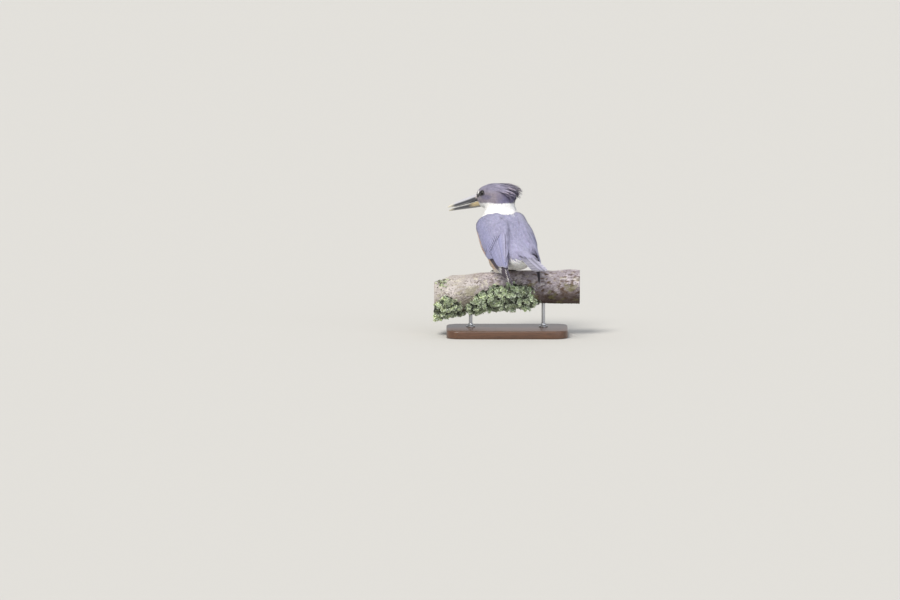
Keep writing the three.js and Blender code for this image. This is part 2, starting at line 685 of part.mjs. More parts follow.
// ---------------------------------------------------------------- branch
// From the branch's frame, with the bird's origin, to the stand's. The bird's own frame is turned
// as well.
const ORIGIN_Z = BASE.thick + ROD.clear + 2 * PERCH.radius;
const lifted = (solid) => solid.translate([0, -BASE.y, ORIGIN_Z]);
const placed = (solid) => lifted(solid.rotate([0, 0, BODY_HEADING]));

// Height of the branch's middle along its length: it rises and flattens to the right.
const perchMiddle = (x) => 0.05 * x - (x < 0 ? 0.00085 : 0.00025) * x * x - PERCH.radius - 0.5;
const perchRadius = (x) => PERCH.radius * (1 - 0.0004 * x);

// How far leafy lichen stands off the bark: cushions on the near and lower side. angle is the
// cushion's middle round the branch, half its reach to each side.
const CUSHIONS = [
  { from: -66, to: 52, angle: -2.2, half: 1, thick: 14 },
  { from: -132, to: -74, angle: -2, half: 0.85, thick: 8.5 },
];
function lichenAt(x, angle) {
  const frill = 0.74 + 0.26 * Math.sin(0.42 * x + 3.1 * angle) * Math.sin(5.3 * angle - 0.21 * x);
  return CUSHIONS.reduce((sum, cushion) => {
    const along = smooth(cushion.from, cushion.from + 14, x) * (1 - smooth(cushion.to - 20, cushion.to, x));
    const off = angle - cushion.angle - 0.004 * x;
    const turn = Math.abs(Math.atan2(Math.sin(off), Math.cos(off)));
    return sum + cushion.thick * along * (1 - smooth(0.55 * cushion.half, cushion.half, turn)) * frill;
  }, 0);
}

// A point on the branch: x along it, angle round it from its top towards +Y. It is smooth underfoot.
function perchPoint(x, angle) {
  const knot = 2.2 * Math.exp(-(((x + 92) / 10) ** 2)) * Math.max(0, Math.cos(angle - 0.3));
  const swell = 0.9 * Math.sin(0.07 * x + 2 * angle) + 0.6 * Math.sin(0.13 * x - 3 * angle + 1);
  const underfoot = Math.exp(-((x / 34) ** 2)) * Math.max(0, Math.cos(angle));
  const radius = perchRadius(x) + (knot + swell) * (1 - underfoot) + lichenAt(x, angle);
  return V(x, PERCH.y + radius * Math.sin(angle), perchMiddle(x) + radius * Math.cos(angle));
}

function branch() {
  const [steps, sides] = [32, 26];
  const rings = [];
  for (let i = 0; i <= steps; i++) {
    const x = mix(-PERCH.length / 2, PERCH.length / 2, i / steps);
    const ring = [];
    for (let k = 0; k < sides; k++) ring.push(perchPoint(x, (k / sides) * 2 * Math.PI));
    rings.push(ring);
  }
  return loft(rings);
}

// ---------------------------------------------------------------- stand
const ROD_X = [-ROD.spacing / 2, ROD.spacing / 2];

// A rod from its hole in the base up into the branch.
function rod(x, grow = 0) {
  const bottom = BASE.thick - ROD.inBase - grow;
  const top = ORIGIN_Z + perchMiddle(x) - perchRadius(x) + ROD.sunk + grow;
  const radius = ROD.radius + grow;
  const shaft = solidOfGeometry(new THREE.CylinderGeometry(radius, radius, top - bottom, 20));
  return shaft.rotate([90, 0, 0]).translate([x, PERCH.y - BASE.y, (top + bottom) / 2]);
}

// A slab with rounded corners and a small bevel round both faces.
function standBase() {
  const { length, width, thick, corner, bevel } = BASE;
  const [halfX, halfY] = [length / 2 - bevel, width / 2 - bevel];
  const outline = new THREE.Shape();
  const corners = [[1, -1], [1, 1], [-1, 1], [-1, -1]];
  corners.forEach(([sideX, sideY], i) => {
    const start = ((i - 1) * Math.PI) / 2;
    const [x, y] = [sideX * (halfX - corner), sideY * (halfY - corner)];
    outline.absarc(x, y, corner, start, start + Math.PI / 2);
  });
  const slab = new THREE.ExtrudeGeometry(outline, {
    depth: thick - 2 * bevel,
    bevelThickness: bevel,
    bevelSize: bevel,
    bevelSegments: 1,
    curveSegments: 4,
  });
  return solidOfGeometry(slab).translate([0, 0, bevel]);
}

const rods = ROD_X.map((x) => rod(x));
const rodsGrown = joined(ROD_X.map((x) => rod(x, GAP)));
const base = standBase().subtract(rodsGrown);

// ---------------------------------------------------------------- legs and feet
// Made in the branch's frame, because the toes follow its surface.
const SIDES = { left: 1, right: -1 };
const FOOT_AT = { forward: 6, left: 13 }; // the left foot's middle, in the bird's directions
const TOE_RADIUS = 1.7;
const TOE_REST = TOE_RADIUS + GAP + 0.15; // height of a toe's middle above the bark
const SHANK_LENGTH = 9;
// Toes: direction in degrees from straight ahead towards the outside, and length.
const TOES = [
  { name: "inner", turn: -24, length: 13 },
  { name: "middle", turn: -6, length: 17 },
  { name: "outer", turn: 12, length: 15.5 },
  { name: "hind", turn: 174, length: 10 },
];

// A round tube through points, with a radius at each; grow widens it and lengthens both ends.
function tube(points, radii, sides, grow = 0) {
  const last = points.length - 1;
  const rings = points.map((point, i) => {
    const along = points[Math.min(i + 1, last)].clone().sub(points[Math.max(i - 1, 0)]).normalize();
    const side = along.clone().cross(Math.abs(along.z) > 0.9 ? V(1, 0, 0) : V(0, 0, 1)).normalize();
    const up = side.clone().cross(along);
    const at = point.clone().addScaledVector(along, i === 0 ? -grow : i === last ? grow : 0);
    const ring = [];
    for (let k = 0; k < sides; k++) {
      const angle = (k / sides) * 2 * Math.PI;
      const spoke = side.clone().multiplyScalar(Math.cos(angle)).addScaledVector(up, Math.sin(angle));
      ring.push(at.clone().addScaledVector(spoke, radii[i] + grow));
    }
    return ring;
  });
  return loft(rings);
}

// A point over the bark, from forward and left in the bird's directions: what goes over the side
// wraps round the branch.
const heading = THREE.MathUtils.degToRad(BODY_HEADING);
function overBark(forward, left, lift) {
  const x = forward * Math.cos(heading) - left * Math.sin(heading);
  const y = forward * Math.sin(heading) + left * Math.cos(heading) - PERCH.y;
  const radius = perchRadius(x) + lift;
  const angle = y / radius;
  return V(x, PERCH.y + radius * Math.sin(angle), perchMiddle(x) + radius * Math.cos(angle));
}

// Points along a toe, from and to as shares of its length.
function toeLine({ turn, length }, side, from, to, steps) {
  const direction = THREE.MathUtils.degToRad(turn * side);
  const points = [];
  for (let i = 0; i <= steps; i++) {
    const reach = mix(from, to, i / steps) * length;
    const forward = FOOT_AT.forward + reach * Math.cos(direction);
    const left = side * FOOT_AT.left + reach * Math.sin(direction);
    points.push(overBark(forward, left, TOE_REST));
  }
  return points;
}

function foot(side, grow = 0) {
  const pieces = TOES.map((toe) => {
    const line = toeLine(toe, side, 0, 1, 5);
    const radii = line.map((_, i) => mix(1.15, 0.78, i / 5) * TOE_RADIUS);
    return tube(line, radii, 7, grow);
  });
  const middle = overBark(FOOT_AT.forward, side * FOOT_AT.left, TOE_REST + 0.5);
  return joined([...pieces, sphere(2.7 + grow, middle, [8, 6])]);
}

// A claw hooks down from the end of its toe on to the bark.
const CLAW = { reach: 0.42, radius: 1.15, tip: 0.3, rise: 1, drop: 1.5, steps: 5, sides: 5 };
function claw(toe, side, grow = 0) {
  const line = toeLine(toe, side, 1, 1 + CLAW.reach, CLAW.steps);
  const along = line[1].clone().sub(line[0]).normalize();
  const points = line.map((point, i) => {
    const t = i / CLAW.steps;
    const up = point.clone().sub(V(point.x, PERCH.y, perchMiddle(point.x))).normalize();
    const lift = CLAW.rise * Math.sin(0.75 * Math.PI * t) - CLAW.drop * t * t;
    return point.addScaledVector(up, lift).addScaledVector(along, GAP);
  });
  const radii = points.map((_, i) => mix(CLAW.radius, CLAW.tip, (i / CLAW.steps) ** 1.3));
  return tube(points, radii, CLAW.sides, grow);
}

function shank(side, grow = 0) {
  const low = overBark(FOOT_AT.forward, side * FOOT_AT.left, TOE_REST + 2.8);
  const rise = (share) => low.clone().add(V(0, 0, share * SHANK_LENGTH));
  return tube([low, rise(0.5), rise(1)], [2, 1.9, 2.3], 8, grow);
}

const feetGrown = joined([foot(1, GAP), foot(-1, GAP)]);
const clawsGrown = joined([1, -1].flatMap((side) => TOES.map((toe) => claw(toe, side, GAP))));
const shanksGrown = joined([shank(1, GAP), shank(-1, GAP)]);
const footPockets = feetGrown.add(shanksGrown).rotate([0, 0, -BODY_HEADING]);

const torso = largest(flesh.intersect(beyond(COLLAR_BASE, -1)).subtract(footPockets));
const perch = largest(lifted(branch().subtract(feetGrown.add(clawsGrown))).subtract(rodsGrown));

// ---------------------------------------------------------------- materials and nodes
const finish = (color, roughness, metalness = 0) =>
  new THREE.MeshStandardMaterial({ color, roughness, metalness });
const bodyPlumage = finish(0x7d86a3, 0.8);
const whitePlumage = finish(0xf3f2f0, 0.85);
const flightFeathers = finish(0x6d7590, 0.7);
const tailPlumage = finish(0xa3a6bb, 0.75);
const billHorn = finish(0x3a3c42, 0.35);
const eyeGloss = finish(0x120d0a, 0.08);
const footSkin = finish(0x6a5a58, 0.6);
const clawHorn = finish(0x1d1b1c, 0.4);
const bark = finish(0x8b7f76, 0.9);
const standWood = finish(0x4a3326, 0.45);
const standSteel = finish(0xb8babd, 0.3, 1);

const model = new THREE.Group();
function add(name, solid, material) {
  const mesh = new THREE.Mesh(geometryOf(solid), material);
  mesh.name = name;
  model.add(mesh);
}

add("torso", placed(torso), bodyPlumage);
add("neck", placed(neck), whitePlumage);
add("head", placed(head), bodyPlumage);
add("bill_upper", placed(inBody(upperBill)), billHorn);
add("bill_lower", placed(inBody(lowerBill)), billHorn);
add("tail", placed(tail), tailPlumage);
for (const [name, side] of Object.entries(SIDES)) {
  add(`eye_${name}`, placed(inBody(eyeball(side))), eyeGloss);
  add(`wing_${name}`, placed(side > 0 ? wingLeft : mirrorY(wingLeft)), flightFeathers);
  add(`leg_${name}`, lifted(largest(shank(side).subtract(feetGrown))), footSkin);
  add(`foot_${name}`, lifted(foot(side)), footSkin);
  for (const toe of TOES) {
    const hook = largest(claw(toe, side).subtract(feetGrown));
    add(`claw_${name}_${toe.name}`, lifted(hook), clawHorn);
  }
}
add("perch", perch, bark);
add("stand_base", base, standWood);
rods.forEach((shaft, i) => add(`stand_rod_${i + 1}`, shaft, standSteel));

export default model;
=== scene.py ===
# %% [markdown]
# # A belted kingfisher on its branch
# A life-size museum model: one bird, the cut length of branch it grips, and a plain stand.
# The bird is modelled in millimetres in its own frame, x forwards, y to its left and z up, with
# the origin under its feet, because the same numbers then fit both wings and both sides. Each
# finished piece is turned into the shared frame, in metres, as its last step.

import math

import bpy
import numpy as np
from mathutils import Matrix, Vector, kdtree, noise
from mathutils.bvhtree import BVHTree


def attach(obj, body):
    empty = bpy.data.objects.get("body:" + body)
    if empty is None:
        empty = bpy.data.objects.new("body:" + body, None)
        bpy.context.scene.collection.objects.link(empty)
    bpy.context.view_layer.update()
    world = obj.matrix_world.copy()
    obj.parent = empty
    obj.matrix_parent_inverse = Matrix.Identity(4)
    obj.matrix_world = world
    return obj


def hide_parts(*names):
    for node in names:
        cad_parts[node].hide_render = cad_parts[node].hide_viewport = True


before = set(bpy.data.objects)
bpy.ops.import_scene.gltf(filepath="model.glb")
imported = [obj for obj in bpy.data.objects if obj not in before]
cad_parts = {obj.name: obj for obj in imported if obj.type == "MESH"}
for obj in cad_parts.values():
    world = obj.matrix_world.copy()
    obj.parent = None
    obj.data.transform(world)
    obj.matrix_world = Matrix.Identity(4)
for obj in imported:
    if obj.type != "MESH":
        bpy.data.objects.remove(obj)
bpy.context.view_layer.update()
bpy.ops.object.select_all(action="DESELECT")
MM = 0.001
print("CAD nodes:", len(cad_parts))

# %% [markdown]
# The bird's body points 114 degrees round from the branch's direction, and its head is turned
# another 41 degrees to its left, so three small functions move points between head, bird and
# stand.

# %% From head to bird to stand
BODY_HEADING = math.radians(114)
HEAD_TURN = math.radians(41)
BIRD_AT = np.array([0.0, 8.0, 106.0])
HEAD_AT = np.array([35.0, 4.0, 124.0])


def turned(points, angle):
    """Points turned about the upright axis."""
    c, s = math.cos(angle), math.sin(angle)
    return np.asarray(points, float) @ np.array([[c, s, 0], [-s, c, 0], [0, 0, 1]])


def head_to_bird(points):
    return turned(points, HEAD_TURN) + HEAD_AT


def bird_to_head(points):
    return turned(points - HEAD_AT, -HEAD_TURN)


def bird_to_stand(points):
    return (turned(points, BODY_HEADING) + BIRD_AT) * MM


def smooth(start, end, value):
    """0 before start, 1 after end, and an eased slope between."""
    t = np.clip((np.asarray(value, float) - start) / (end - start), 0, 1)
    return t * t * (3 - 2 * t)


def mix(a, b, t):
    return a + (b - a) * t


def unit(vectors):
    """Vectors made 1 long."""
    return vectors / np.maximum(np.linalg.norm(vectors, axis=-1, keepdims=True), 1e-9)


def dots(a, b):
    """The dot product of each vector of a with its vector of b, as a column."""
    return np.sum(a * b, axis=-1, keepdims=True)


def stacked(*parts):
    """Numbers and arrays spread to one shape and put side by side, as coordinates are."""
    return np.stack(np.broadcast_arrays(*parts), -1)


print("head's middle is", (bird_to_stand(HEAD_AT) / MM).round(1), "mm from the stand's middle")

# %% [markdown]
# ## Camera, floor and light
# A long lens far off keeps the bird small in the picture and its shape undistorted. The camera
# stands a little above the bird and looks along +Y. The floor is one large pale sheet, and the
# light is soft, as in a room with large windows: a strong lamp from above on the left, a weaker
# one from the right, and a pale world all round. Both are far sun lamps with a wide disc, because
# area lamps close by would light the bird and the floor unevenly.

# %% Camera
LENS, SENSOR = 500.0, 36.0
PICTURE = (900, 600)
MM_PER_PIXEL = 1.65
ELEVATION = math.radians(6)
BIRD_PIXEL = (507, 271)
away = PICTURE[0] * MM_PER_PIXEL * MM * LENS / SENSOR
look = Vector((0, math.cos(ELEVATION), -math.sin(ELEVATION)))
up = Vector((0, math.sin(ELEVATION), math.cos(ELEVATION)))
offset_right = (PICTURE[0] / 2 - BIRD_PIXEL[0]) * MM_PER_PIXEL * MM
offset_up = (BIRD_PIXEL[1] - PICTURE[1] / 2) * MM_PER_PIXEL * MM
aim = Vector(BIRD_AT * MM) + Vector((offset_right, 0, 0)) + up * offset_up
lens = bpy.data.cameras.new("camera")
lens.lens, lens.sensor_width, lens.clip_end = LENS, SENSOR, 200
camera = bpy.data.objects.new("camera", lens)
camera.location = aim - look * away
camera.rotation_euler = (math.pi / 2 - ELEVATION, 0, 0)
bpy.context.scene.collection.objects.link(camera)
bpy.context.scene.camera = camera
print("camera height", round(camera.location.z, 3), "m, distance", round(away, 2), "m")

# %% [markdown]
# Colours are written as the sRGB hex values that a paint chart gives, and turned to linear light
# by one function. One other function adds a shader node with its settings and links, and three
# more build what most finishes here share: an uneven grain, a colour that it darkens and lightens,
# and the fine relief that goes with it.

# %% Colour and shader helpers
def linear(hex_colour):
    """The linear colour of an sRGB hex value."""
    channels = [int(hex_colour[i : i + 2], 16) / 255 for i in (1, 3, 5)]
    return np.array([c / 12.92 if c <= 0.04045 else ((c + 0.055) / 1.055) ** 2.4 for c in channels])


def rgba(hex_colour):
    return (*linear(hex_colour), 1.0)


def palette(**hex_colours):
    return {name: linear(value) for name, value in hex_colours.items()}


print("a grey of #808080 is", linear("#808080")[0].round(3), "in linear light")

# %% Shader nodes and materials
def add_node(made, kind, settings=None, links=None):
    """One shader node: settings are sockets' values or the node's own, links are its inputs."""
    node = made.node_tree.nodes.new("ShaderNode" + kind)
    for key, value in (settings or {}).items():
        if isinstance(key, str) and hasattr(node, key):
            setattr(node, key, value)
        else:
            node.inputs[key].default_value = value
    for key, source in (links or {}).items():
        join_nodes(made, source, node, key)
    return node


def join_nodes(made, source, node, socket):
    """Links a socket, or a node's first output, to a node's input."""
    made.node_tree.links.new(getattr(source, "outputs", [source])[0], node.inputs[socket])


def new_material(name, settings):
    """A material with one Principled shader, and that shader."""
    made = bpy.data.materials.new(name)
    made.use_nodes = True
    made.node_tree.nodes.clear()
    shader = add_node(made, "BsdfPrincipled", settings)
    add_node(made, "OutputMaterial", {}, {"Surface": shader})
    return made, shader


def grain_over(made, per_metre, settings, place=None):
    """Noise over an object, so many grains a metre; three numbers draw it out along one axis."""
    if place is None:
        place = add_node(made, "TexCoord").outputs["Object"]
    if isinstance(per_metre, tuple):
        place = add_node(made, "VectorMath", {"operation": "MULTIPLY", 1: per_metre}, {0: place})
        per_metre = 1
    return add_node(made, "TexNoise", {"Scale": per_metre, **settings}, {"Vector": place})


def shaded(made, colour, pattern, span, shades):
    """A colour made darker or lighter by a pattern: the ends of its span give the two shades."""
    reach = {"From Min": span[0], "From Max": span[1], "To Min": shades[0], "To Max": shades[1]}
    shade = add_node(made, "MapRange", reach, {"Value": pattern})
    return add_node(made, "VectorMath", {"operation": "SCALE"}, {0: colour, "Scale": shade})


def dress(made, shader, colour, height=None, strength=0.0, depth=0.0):
    """Gives the shader its colour, and fine relief from a height pattern, its depth in metres."""
    join_nodes(made, colour, shader, "Base Color")
    if height is not None:
        bump = add_node(made, "Bump", {"Strength": strength, "Distance": depth}, {"Height": height})
        join_nodes(made, bump, shader, "Normal")

# %% Floor and lights
FLOOR_SIZE = 60.0
bpy.ops.mesh.primitive_plane_add(size=FLOOR_SIZE, location=(0, 10, 0))
floor = bpy.context.object
floor.name = "floor"
# Matt paint has next to no gleam, so nothing but the shadow marks the floor.
painted, _ = new_material("matt_painted_board", {"Roughness": 0.9, "Base Color": rgba("#bebdb9")})
floor.data.materials.append(painted)


def soft_sun(name, place, strength, spread, tint):
    """A far lamp shining from place to the bird, with soft shadows of that spread in degrees."""
    lamp = bpy.data.lights.new(name, "SUN")
    lamp.angle, lamp.energy, lamp.color = math.radians(spread), strength, linear(tint)
    holder = bpy.data.objects.new(name, lamp)
    holder.location = place
    holder.rotation_euler = (-Vector(place)).to_track_quat("-Z", "Y").to_euler()
    bpy.context.scene.collection.objects.link(holder)


soft_sun("key_lamp", (-1.0, -1.6, 2.4), 3.1, 25, "#fffaf2")
soft_sun("fill_lamp", (1.5, -2.2, 0.7), 0.95, 60, "#eef2ff")
room = bpy.data.worlds.new("studio")
room.use_nodes = True
room.node_tree.nodes["Background"].inputs["Color"].default_value = rgba("#f2f4f8")
room.node_tree.nodes["Background"].inputs["Strength"].default_value = 0.7
bpy.context.scene.world = room
bpy.context.scene.view_settings.view_transform = "Standard"
print("lamps:", [lamp.name for lamp in bpy.data.lights])

# %% [markdown]
# ## Making a mesh from arrays
# A coat of feathers is thousands of small blades, which no modelling tool can lay one by one, so
# they are computed as arrays of points and triangles and joined into one mesh. Each point can
# carry a colour, and each corner a place in one or more UV maps.

# %% Meshes from arrays
def mesh_piece(name, points, faces, tints=None, maps=None, shaded_smooth=True):
    """An object from points (metres), equal-sided faces, a colour a point and UV a point."""
    points, faces = np.asarray(points, np.float32), np.asarray(faces, np.int32)
    mesh = bpy.data.meshes.new(name)
    mesh.vertices.add(len(points))
    mesh.vertices.foreach_set("co", points.ravel())
    mesh.loops.add(faces.size)
    mesh.loops.foreach_set("vertex_index", faces.ravel())
    mesh.polygons.add(len(faces))
    mesh.polygons.foreach_set("loop_start", np.arange(0, faces.size, faces.shape[1], dtype=np.int32))
    mesh.polygons.foreach_set("use_smooth", np.full(len(faces), shaded_smooth))
    mesh.update(calc_edges=True)
    if tints is not None:
        paint(mesh, tints)
    for map_name, places in (maps or {}).items():
        layer = mesh.uv_layers.new(name=map_name)
        layer.data.foreach_set("uv", np.asarray(places, np.float32)[faces.ravel()].ravel())
    piece = bpy.data.objects.new(name, mesh)
    bpy.context.scene.collection.objects.link(piece)
    return piece


def paint(mesh, colours):
    """Stores a linear colour for each point of a mesh."""
    layer = mesh.color_attributes.new("tint", "FLOAT_COLOR", "POINT")
    with_alpha = np.concatenate([colours, np.ones((len(colours), 1))], axis=1)
    layer.data.foreach_set("color", with_alpha.astype(np.float32).ravel())


def points_of(piece, what="co"):
    """The coordinates of a mesh's points, or their normals."""
    found = np.empty(len(piece.data.vertices) * 3)
    piece.data.vertices.foreach_get(what, found)
    return found.reshape(-1, 3)


def normals_of(piece):
    return points_of(piece, "normal")


def move_points(piece, points):
    piece.data.vertices.foreach_set("co", np.asarray(points, np.float32).ravel())
    piece.data.update()


def triangles_of(piece):
    piece.data.calc_loop_triangles()
    found = np.empty(len(piece.data.loop_triangles) * 3, np.int32)
    piece.data.loop_triangles.foreach_get("vertices", found)
    return found.reshape(-1, 3)

# %% Handling pieces
def choose(piece, others=()):
    """Selects these objects alone, with piece active."""
    bpy.ops.object.select_all(action="DESELECT")
    for item in (piece, *others):
        item.select_set(True)
    bpy.context.view_layer.objects.active = piece


def apply_modifier(piece, kind, **settings):
    choose(piece)
    modifier = piece.modifiers.new(kind.lower(), kind)
    for key, value in settings.items():
        setattr(modifier, key, value)
    bpy.ops.object.modifier_apply(modifier=modifier.name)


def shade_round(piece):
    choose(piece)
    bpy.ops.object.shade_smooth()


def unit_ball(name, segments, rings):
    """A UV sphere of radius 1, and its points."""
    bpy.ops.mesh.primitive_uv_sphere_add(segments=segments, ring_count=rings, radius=1)
    ball = bpy.context.object
    ball.name = ball.data.name = name
    return ball, points_of(ball)


def hand_over(piece, material, slot, *nodes):
    """A piece's last step: its material, its body, and the solids that it stands for; slot is not used."""
    piece.data.materials.append(material)
    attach(piece, "root")
    if nodes:
        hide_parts(*nodes)

# %% [markdown]
# Two kinds of search tree answer which point, or which place on a surface, is nearest. Many parts
# are long forms measured by their cross-sections, such as feathers, bill, toes and branch. A loft
# joins rings of points to a closed mesh, with a centre point in each end, and its faces are turned
# so that they look outwards.

# %% Search trees and lofts
def points_tree(points):
    tree = kdtree.KDTree(len(points))
    for i, p in enumerate(points):
        tree.insert(p, i)
    tree.balance()
    return tree


def surface_tree(points, triangles):
    return BVHTree.FromPolygons(points.tolist(), triangles.tolist())


def outward(points, faces):
    """Faces turned so that the closed mesh has a positive volume."""
    a, b, c = (points[faces[:, n]] for n in range(3))
    return faces if np.einsum("nd,nd->n", a, np.cross(b, c)).sum() > 0 else faces[:, ::-1]


def lofted(rings):
    """A closed mesh through rings of points, its two end centres last: points and triangles."""
    count, around = rings.shape[:2]
    i, k = np.meshgrid(np.arange(count - 1), np.arange(around), indexing="ij")
    a, b = i * around + k, i * around + (k + 1) % around
    sides = np.concatenate([stacked(a, b, b + around), stacked(a, b + around, a + around)])
    first, last, top = count * around, count * around + 1, (count - 1) * around
    k = np.arange(around)
    start, end = stacked(first, (k + 1) % around, k), stacked(last, top + k, top + (k + 1) % around)
    centres = np.stack([rings[0].mean(0), rings[-1].mean(0)])
    points = np.concatenate([rings.reshape(-1, 3), centres])
    return points, outward(points, np.concatenate([sides.reshape(-1, 3), start, end]))


def merged(parts):
    """Several meshes, given as points and triangles, as one."""
    firsts = np.cumsum([0] + [len(points) for points, _ in parts[:-1]])
    faces = [triangles + first for (_, triangles), first in zip(parts, firsts)]
    return np.concatenate([points for points, _ in parts]), np.concatenate(faces)

# %% [markdown]
# ## The bird's form
# Under its feathers a bird is two egg shapes, trunk and head, joined by a thick neck. Each is
# measured as a row of upright rings: the back line, the belly line and the half width. A UV sphere
# is a ready closed skin, so its points are moved onto those rings, with its poles at the two ends.

# %% Measures of the trunk and the head
# Back x and z, belly x and z, half width, from the tail root to the top of the neck.
BODY_ROWS = [
    (-73, 32, -74, 18, 9),
    (-62, 40, -66, 11, 15.5),
    (-50, 50, -57, 6.5, 21.5),
    (-37, 64, -42, 4, 28),
    (-23, 79, -15, 3, 35),
    (-11, 90, 19, 5, 39),
    (-4, 97, 46, 22, 40),
    (0, 101, 61, 50, 38),
    (2, 105, 61, 76, 31.5),
    (3, 110, 54, 95, 26),
    (5, 117, 51, 107, 24),
    (9, 126, 47, 118, 20),
]
# The same for the head, from the bill's base to the nape, in the head's own frame.
HEAD_ROWS = [
    (36, -2, 32, -18.5, 5.4),
    (34, 4, 29, -20.5, 7.8),
    (29, 10, 25, -22.5, 11.4),
    (20, 15, 18, -24.5, 16.4),
    (8, 18.5, 10, -27, 19),
    (-4, 19.4, 0, -28, 20.4),
    (-16, 17.2, -10, -27, 20.4),
    (-27, 10, -20, -23, 17.5),
    (-33, 1, -29, -15, 11),
    (-35, -4, -33, -10, 4),
]
THIGH_AT, THIGH_REACH = (14, 15, 16), (14.5, 11.5, 14.5)
TAIL_ROOT = np.array([-50.0, 0.0, 40.5])
TAIL_DROOP, TAIL_SWING = math.radians(18.4), math.radians(2.5)
# The fleshy root of the tail: distance back, top, bottom, half width, in the tail's frame.
TAIL_ROOT_ROWS = [
    (0, 0, -22, 12),
    (8, 1.6, -18, 10.5),
    (18, 1.8, -15, 9.5),
    (28, 1.4, -11.5, 8.8),
    (37, 0.8, -7, 7.5),
    (46, -0.5, -4, 5),
]
print("rings:", len(BODY_ROWS), "of the trunk and", len(HEAD_ROWS), "of the head")

# %% Rings through the rows
def along_rows(rows, s):
    """Rows read at s, 0 at the first and 1 at the last, on a smooth curve through them."""
    rows = np.asarray(rows, float)
    place = np.clip(s, 0, 1) * (len(rows) - 1)
    i = np.minimum(place.astype(int), len(rows) - 2)
    t = (place - i)[..., None]
    p0, p1, p2, p3 = (rows[np.clip(i + k, 0, len(rows) - 1)] for k in (-1, 0, 1, 2))
    bend = (2 * p0 - 5 * p1 + 4 * p2 - p3) * t**2
    return 0.5 * (2 * p1 + (p2 - p0) * t + bend + (3 * p1 - p0 - 3 * p2 + p3) * t**3)


def ring_points(rows, s, angle, grow=0.0):
    """Points on a ringed form: angle goes from the back over the bird's left side."""
    back_x, back_z, belly_x, belly_z, half = np.moveaxis(along_rows(rows, s), -1, 0)
    depth = np.hypot(back_x - belly_x, back_z - belly_z) / 2
    reach = (depth + grow) / depth * np.cos(angle)
    x = (back_x + belly_x) / 2 + (back_x - belly_x) / 2 * reach
    z = (back_z + belly_z) / 2 + (back_z - belly_z) / 2 * reach
    return stacked(x, (half + grow) * np.sin(angle), z)


def tail_to_bird(points):
    """From the tail's frame: x back along the tail, y to the bird's right, z up."""
    points = np.asarray(points, float) * (-1, -1, 1)
    c, s = math.cos(-TAIL_DROOP), math.sin(-TAIL_DROOP)
    level = points @ np.array([[c, 0, -s], [0, 1, 0], [s, 0, c]])
    return turned(level, TAIL_SWING) + TAIL_ROOT


def tail_ring_points(s, angle):
    back, top, bottom, half = np.moveaxis(along_rows(TAIL_ROOT_ROWS, s), -1, 0)
    z = (top + bottom) / 2 + (top - bottom) / 2 * np.cos(angle)
    return tail_to_bird(stacked(back, half * np.sin(angle), z))


CAP = 0.04


def ringed_form(name, ring, segments=72, rings=64):
    """A UV sphere whose points are moved onto rings, and to a rounded cap beyond each end."""
    form, ball = unit_ball(name, segments, rings)
    polar = np.arccos(np.clip(ball[:, 2], -1, 1)) / math.pi
    angle = np.arctan2(ball[:, 1], ball[:, 0])
    s = (polar - CAP) / (1 - 2 * CAP)
    beyond = np.maximum(-s, s - 1).clip(0) * (1 - 2 * CAP) / CAP
    closing = np.sqrt(np.clip(1 - beyond**2, 0, 1))
    on_ring = ring(np.clip(s, 0, 1), angle)
    middle = (on_ring + ring(np.clip(s, 0, 1), angle + math.pi)) / 2
    move_points(form, mix(middle, on_ring, closing[:, None]))
    return form


trunk_half = ring_points(BODY_ROWS, np.linspace(0, 1, 60), math.pi / 2)[:, 1].max()
print("trunk's greatest width:", (2 * trunk_half).round(1), "mm")

# %% [markdown]
# The forms overlap, as clay lumps do before they are smoothed together. A voxel remesh makes one
# closed skin of them, a smoothing softens the joins, and then the skin is drawn in by the depth of
# the plumage that will cover it, little on the face and more on the body.

# %% One skin
SKIN_VOXEL = 1.25
trunk = ringed_form("skin", lambda s, angle: ring_points(BODY_ROWS, s, angle))
skull = ringed_form("skull", lambda s, angle: head_to_bird(ring_points(HEAD_ROWS, s, angle)))
stump = ringed_form("stump", tail_ring_points, 40, 32)
thighs = []
for side in (1, -1):
    thigh, _ = unit_ball("thigh", 40, 28)
    thigh.location = (THIGH_AT[0], side * THIGH_AT[1], THIGH_AT[2])
    thigh.scale = THIGH_REACH
    bpy.ops.object.transform_apply(location=True, rotation=False, scale=True)
    thighs.append(thigh)
choose(trunk, (skull, stump, *thighs))
bpy.ops.object.join()
skin = trunk
apply_modifier(skin, "REMESH", mode="VOXEL", voxel_size=SKIN_VOXEL)
apply_modifier(skin, "SMOOTH", factor=0.6, iterations=6)
print("skin:", len(skin.data.vertices), "points")

# %% Drawing the skin in by the plumage's depth
EYE_AT = np.array([18.6, 11.1, 2.3])
EYE_RADIUS = 4.9


def head_level(points):
    """How far from the head's middle a point in the bird's frame is: 1 is about its surface."""
    h = bird_to_head(points)
    return np.sqrt(((h[:, 0] + 1) / 35) ** 2 + (h[:, 1] / 20) ** 2 + ((h[:, 2] + 5) / 23) ** 2)


def plumage_depth(points):
    h = bird_to_head(points)
    head_share = 1 - smooth(1.05, 1.5, head_level(points))
    face = smooth(-2, 24, h[:, 0])
    return mix(2.3, mix(1.6, 0.8, face), head_share)


full = points_of(skin)
move_points(skin, full - normals_of(skin) * plumage_depth(full)[:, None])
skin_points, skin_triangles, skin_normals = points_of(skin), triangles_of(skin), normals_of(skin)
skin_tree = surface_tree(skin_points, skin_triangles)
print("skin drawn in by", plumage_depth(full).min().round(2), "to", plumage_depth(full).max().round(2), "mm")
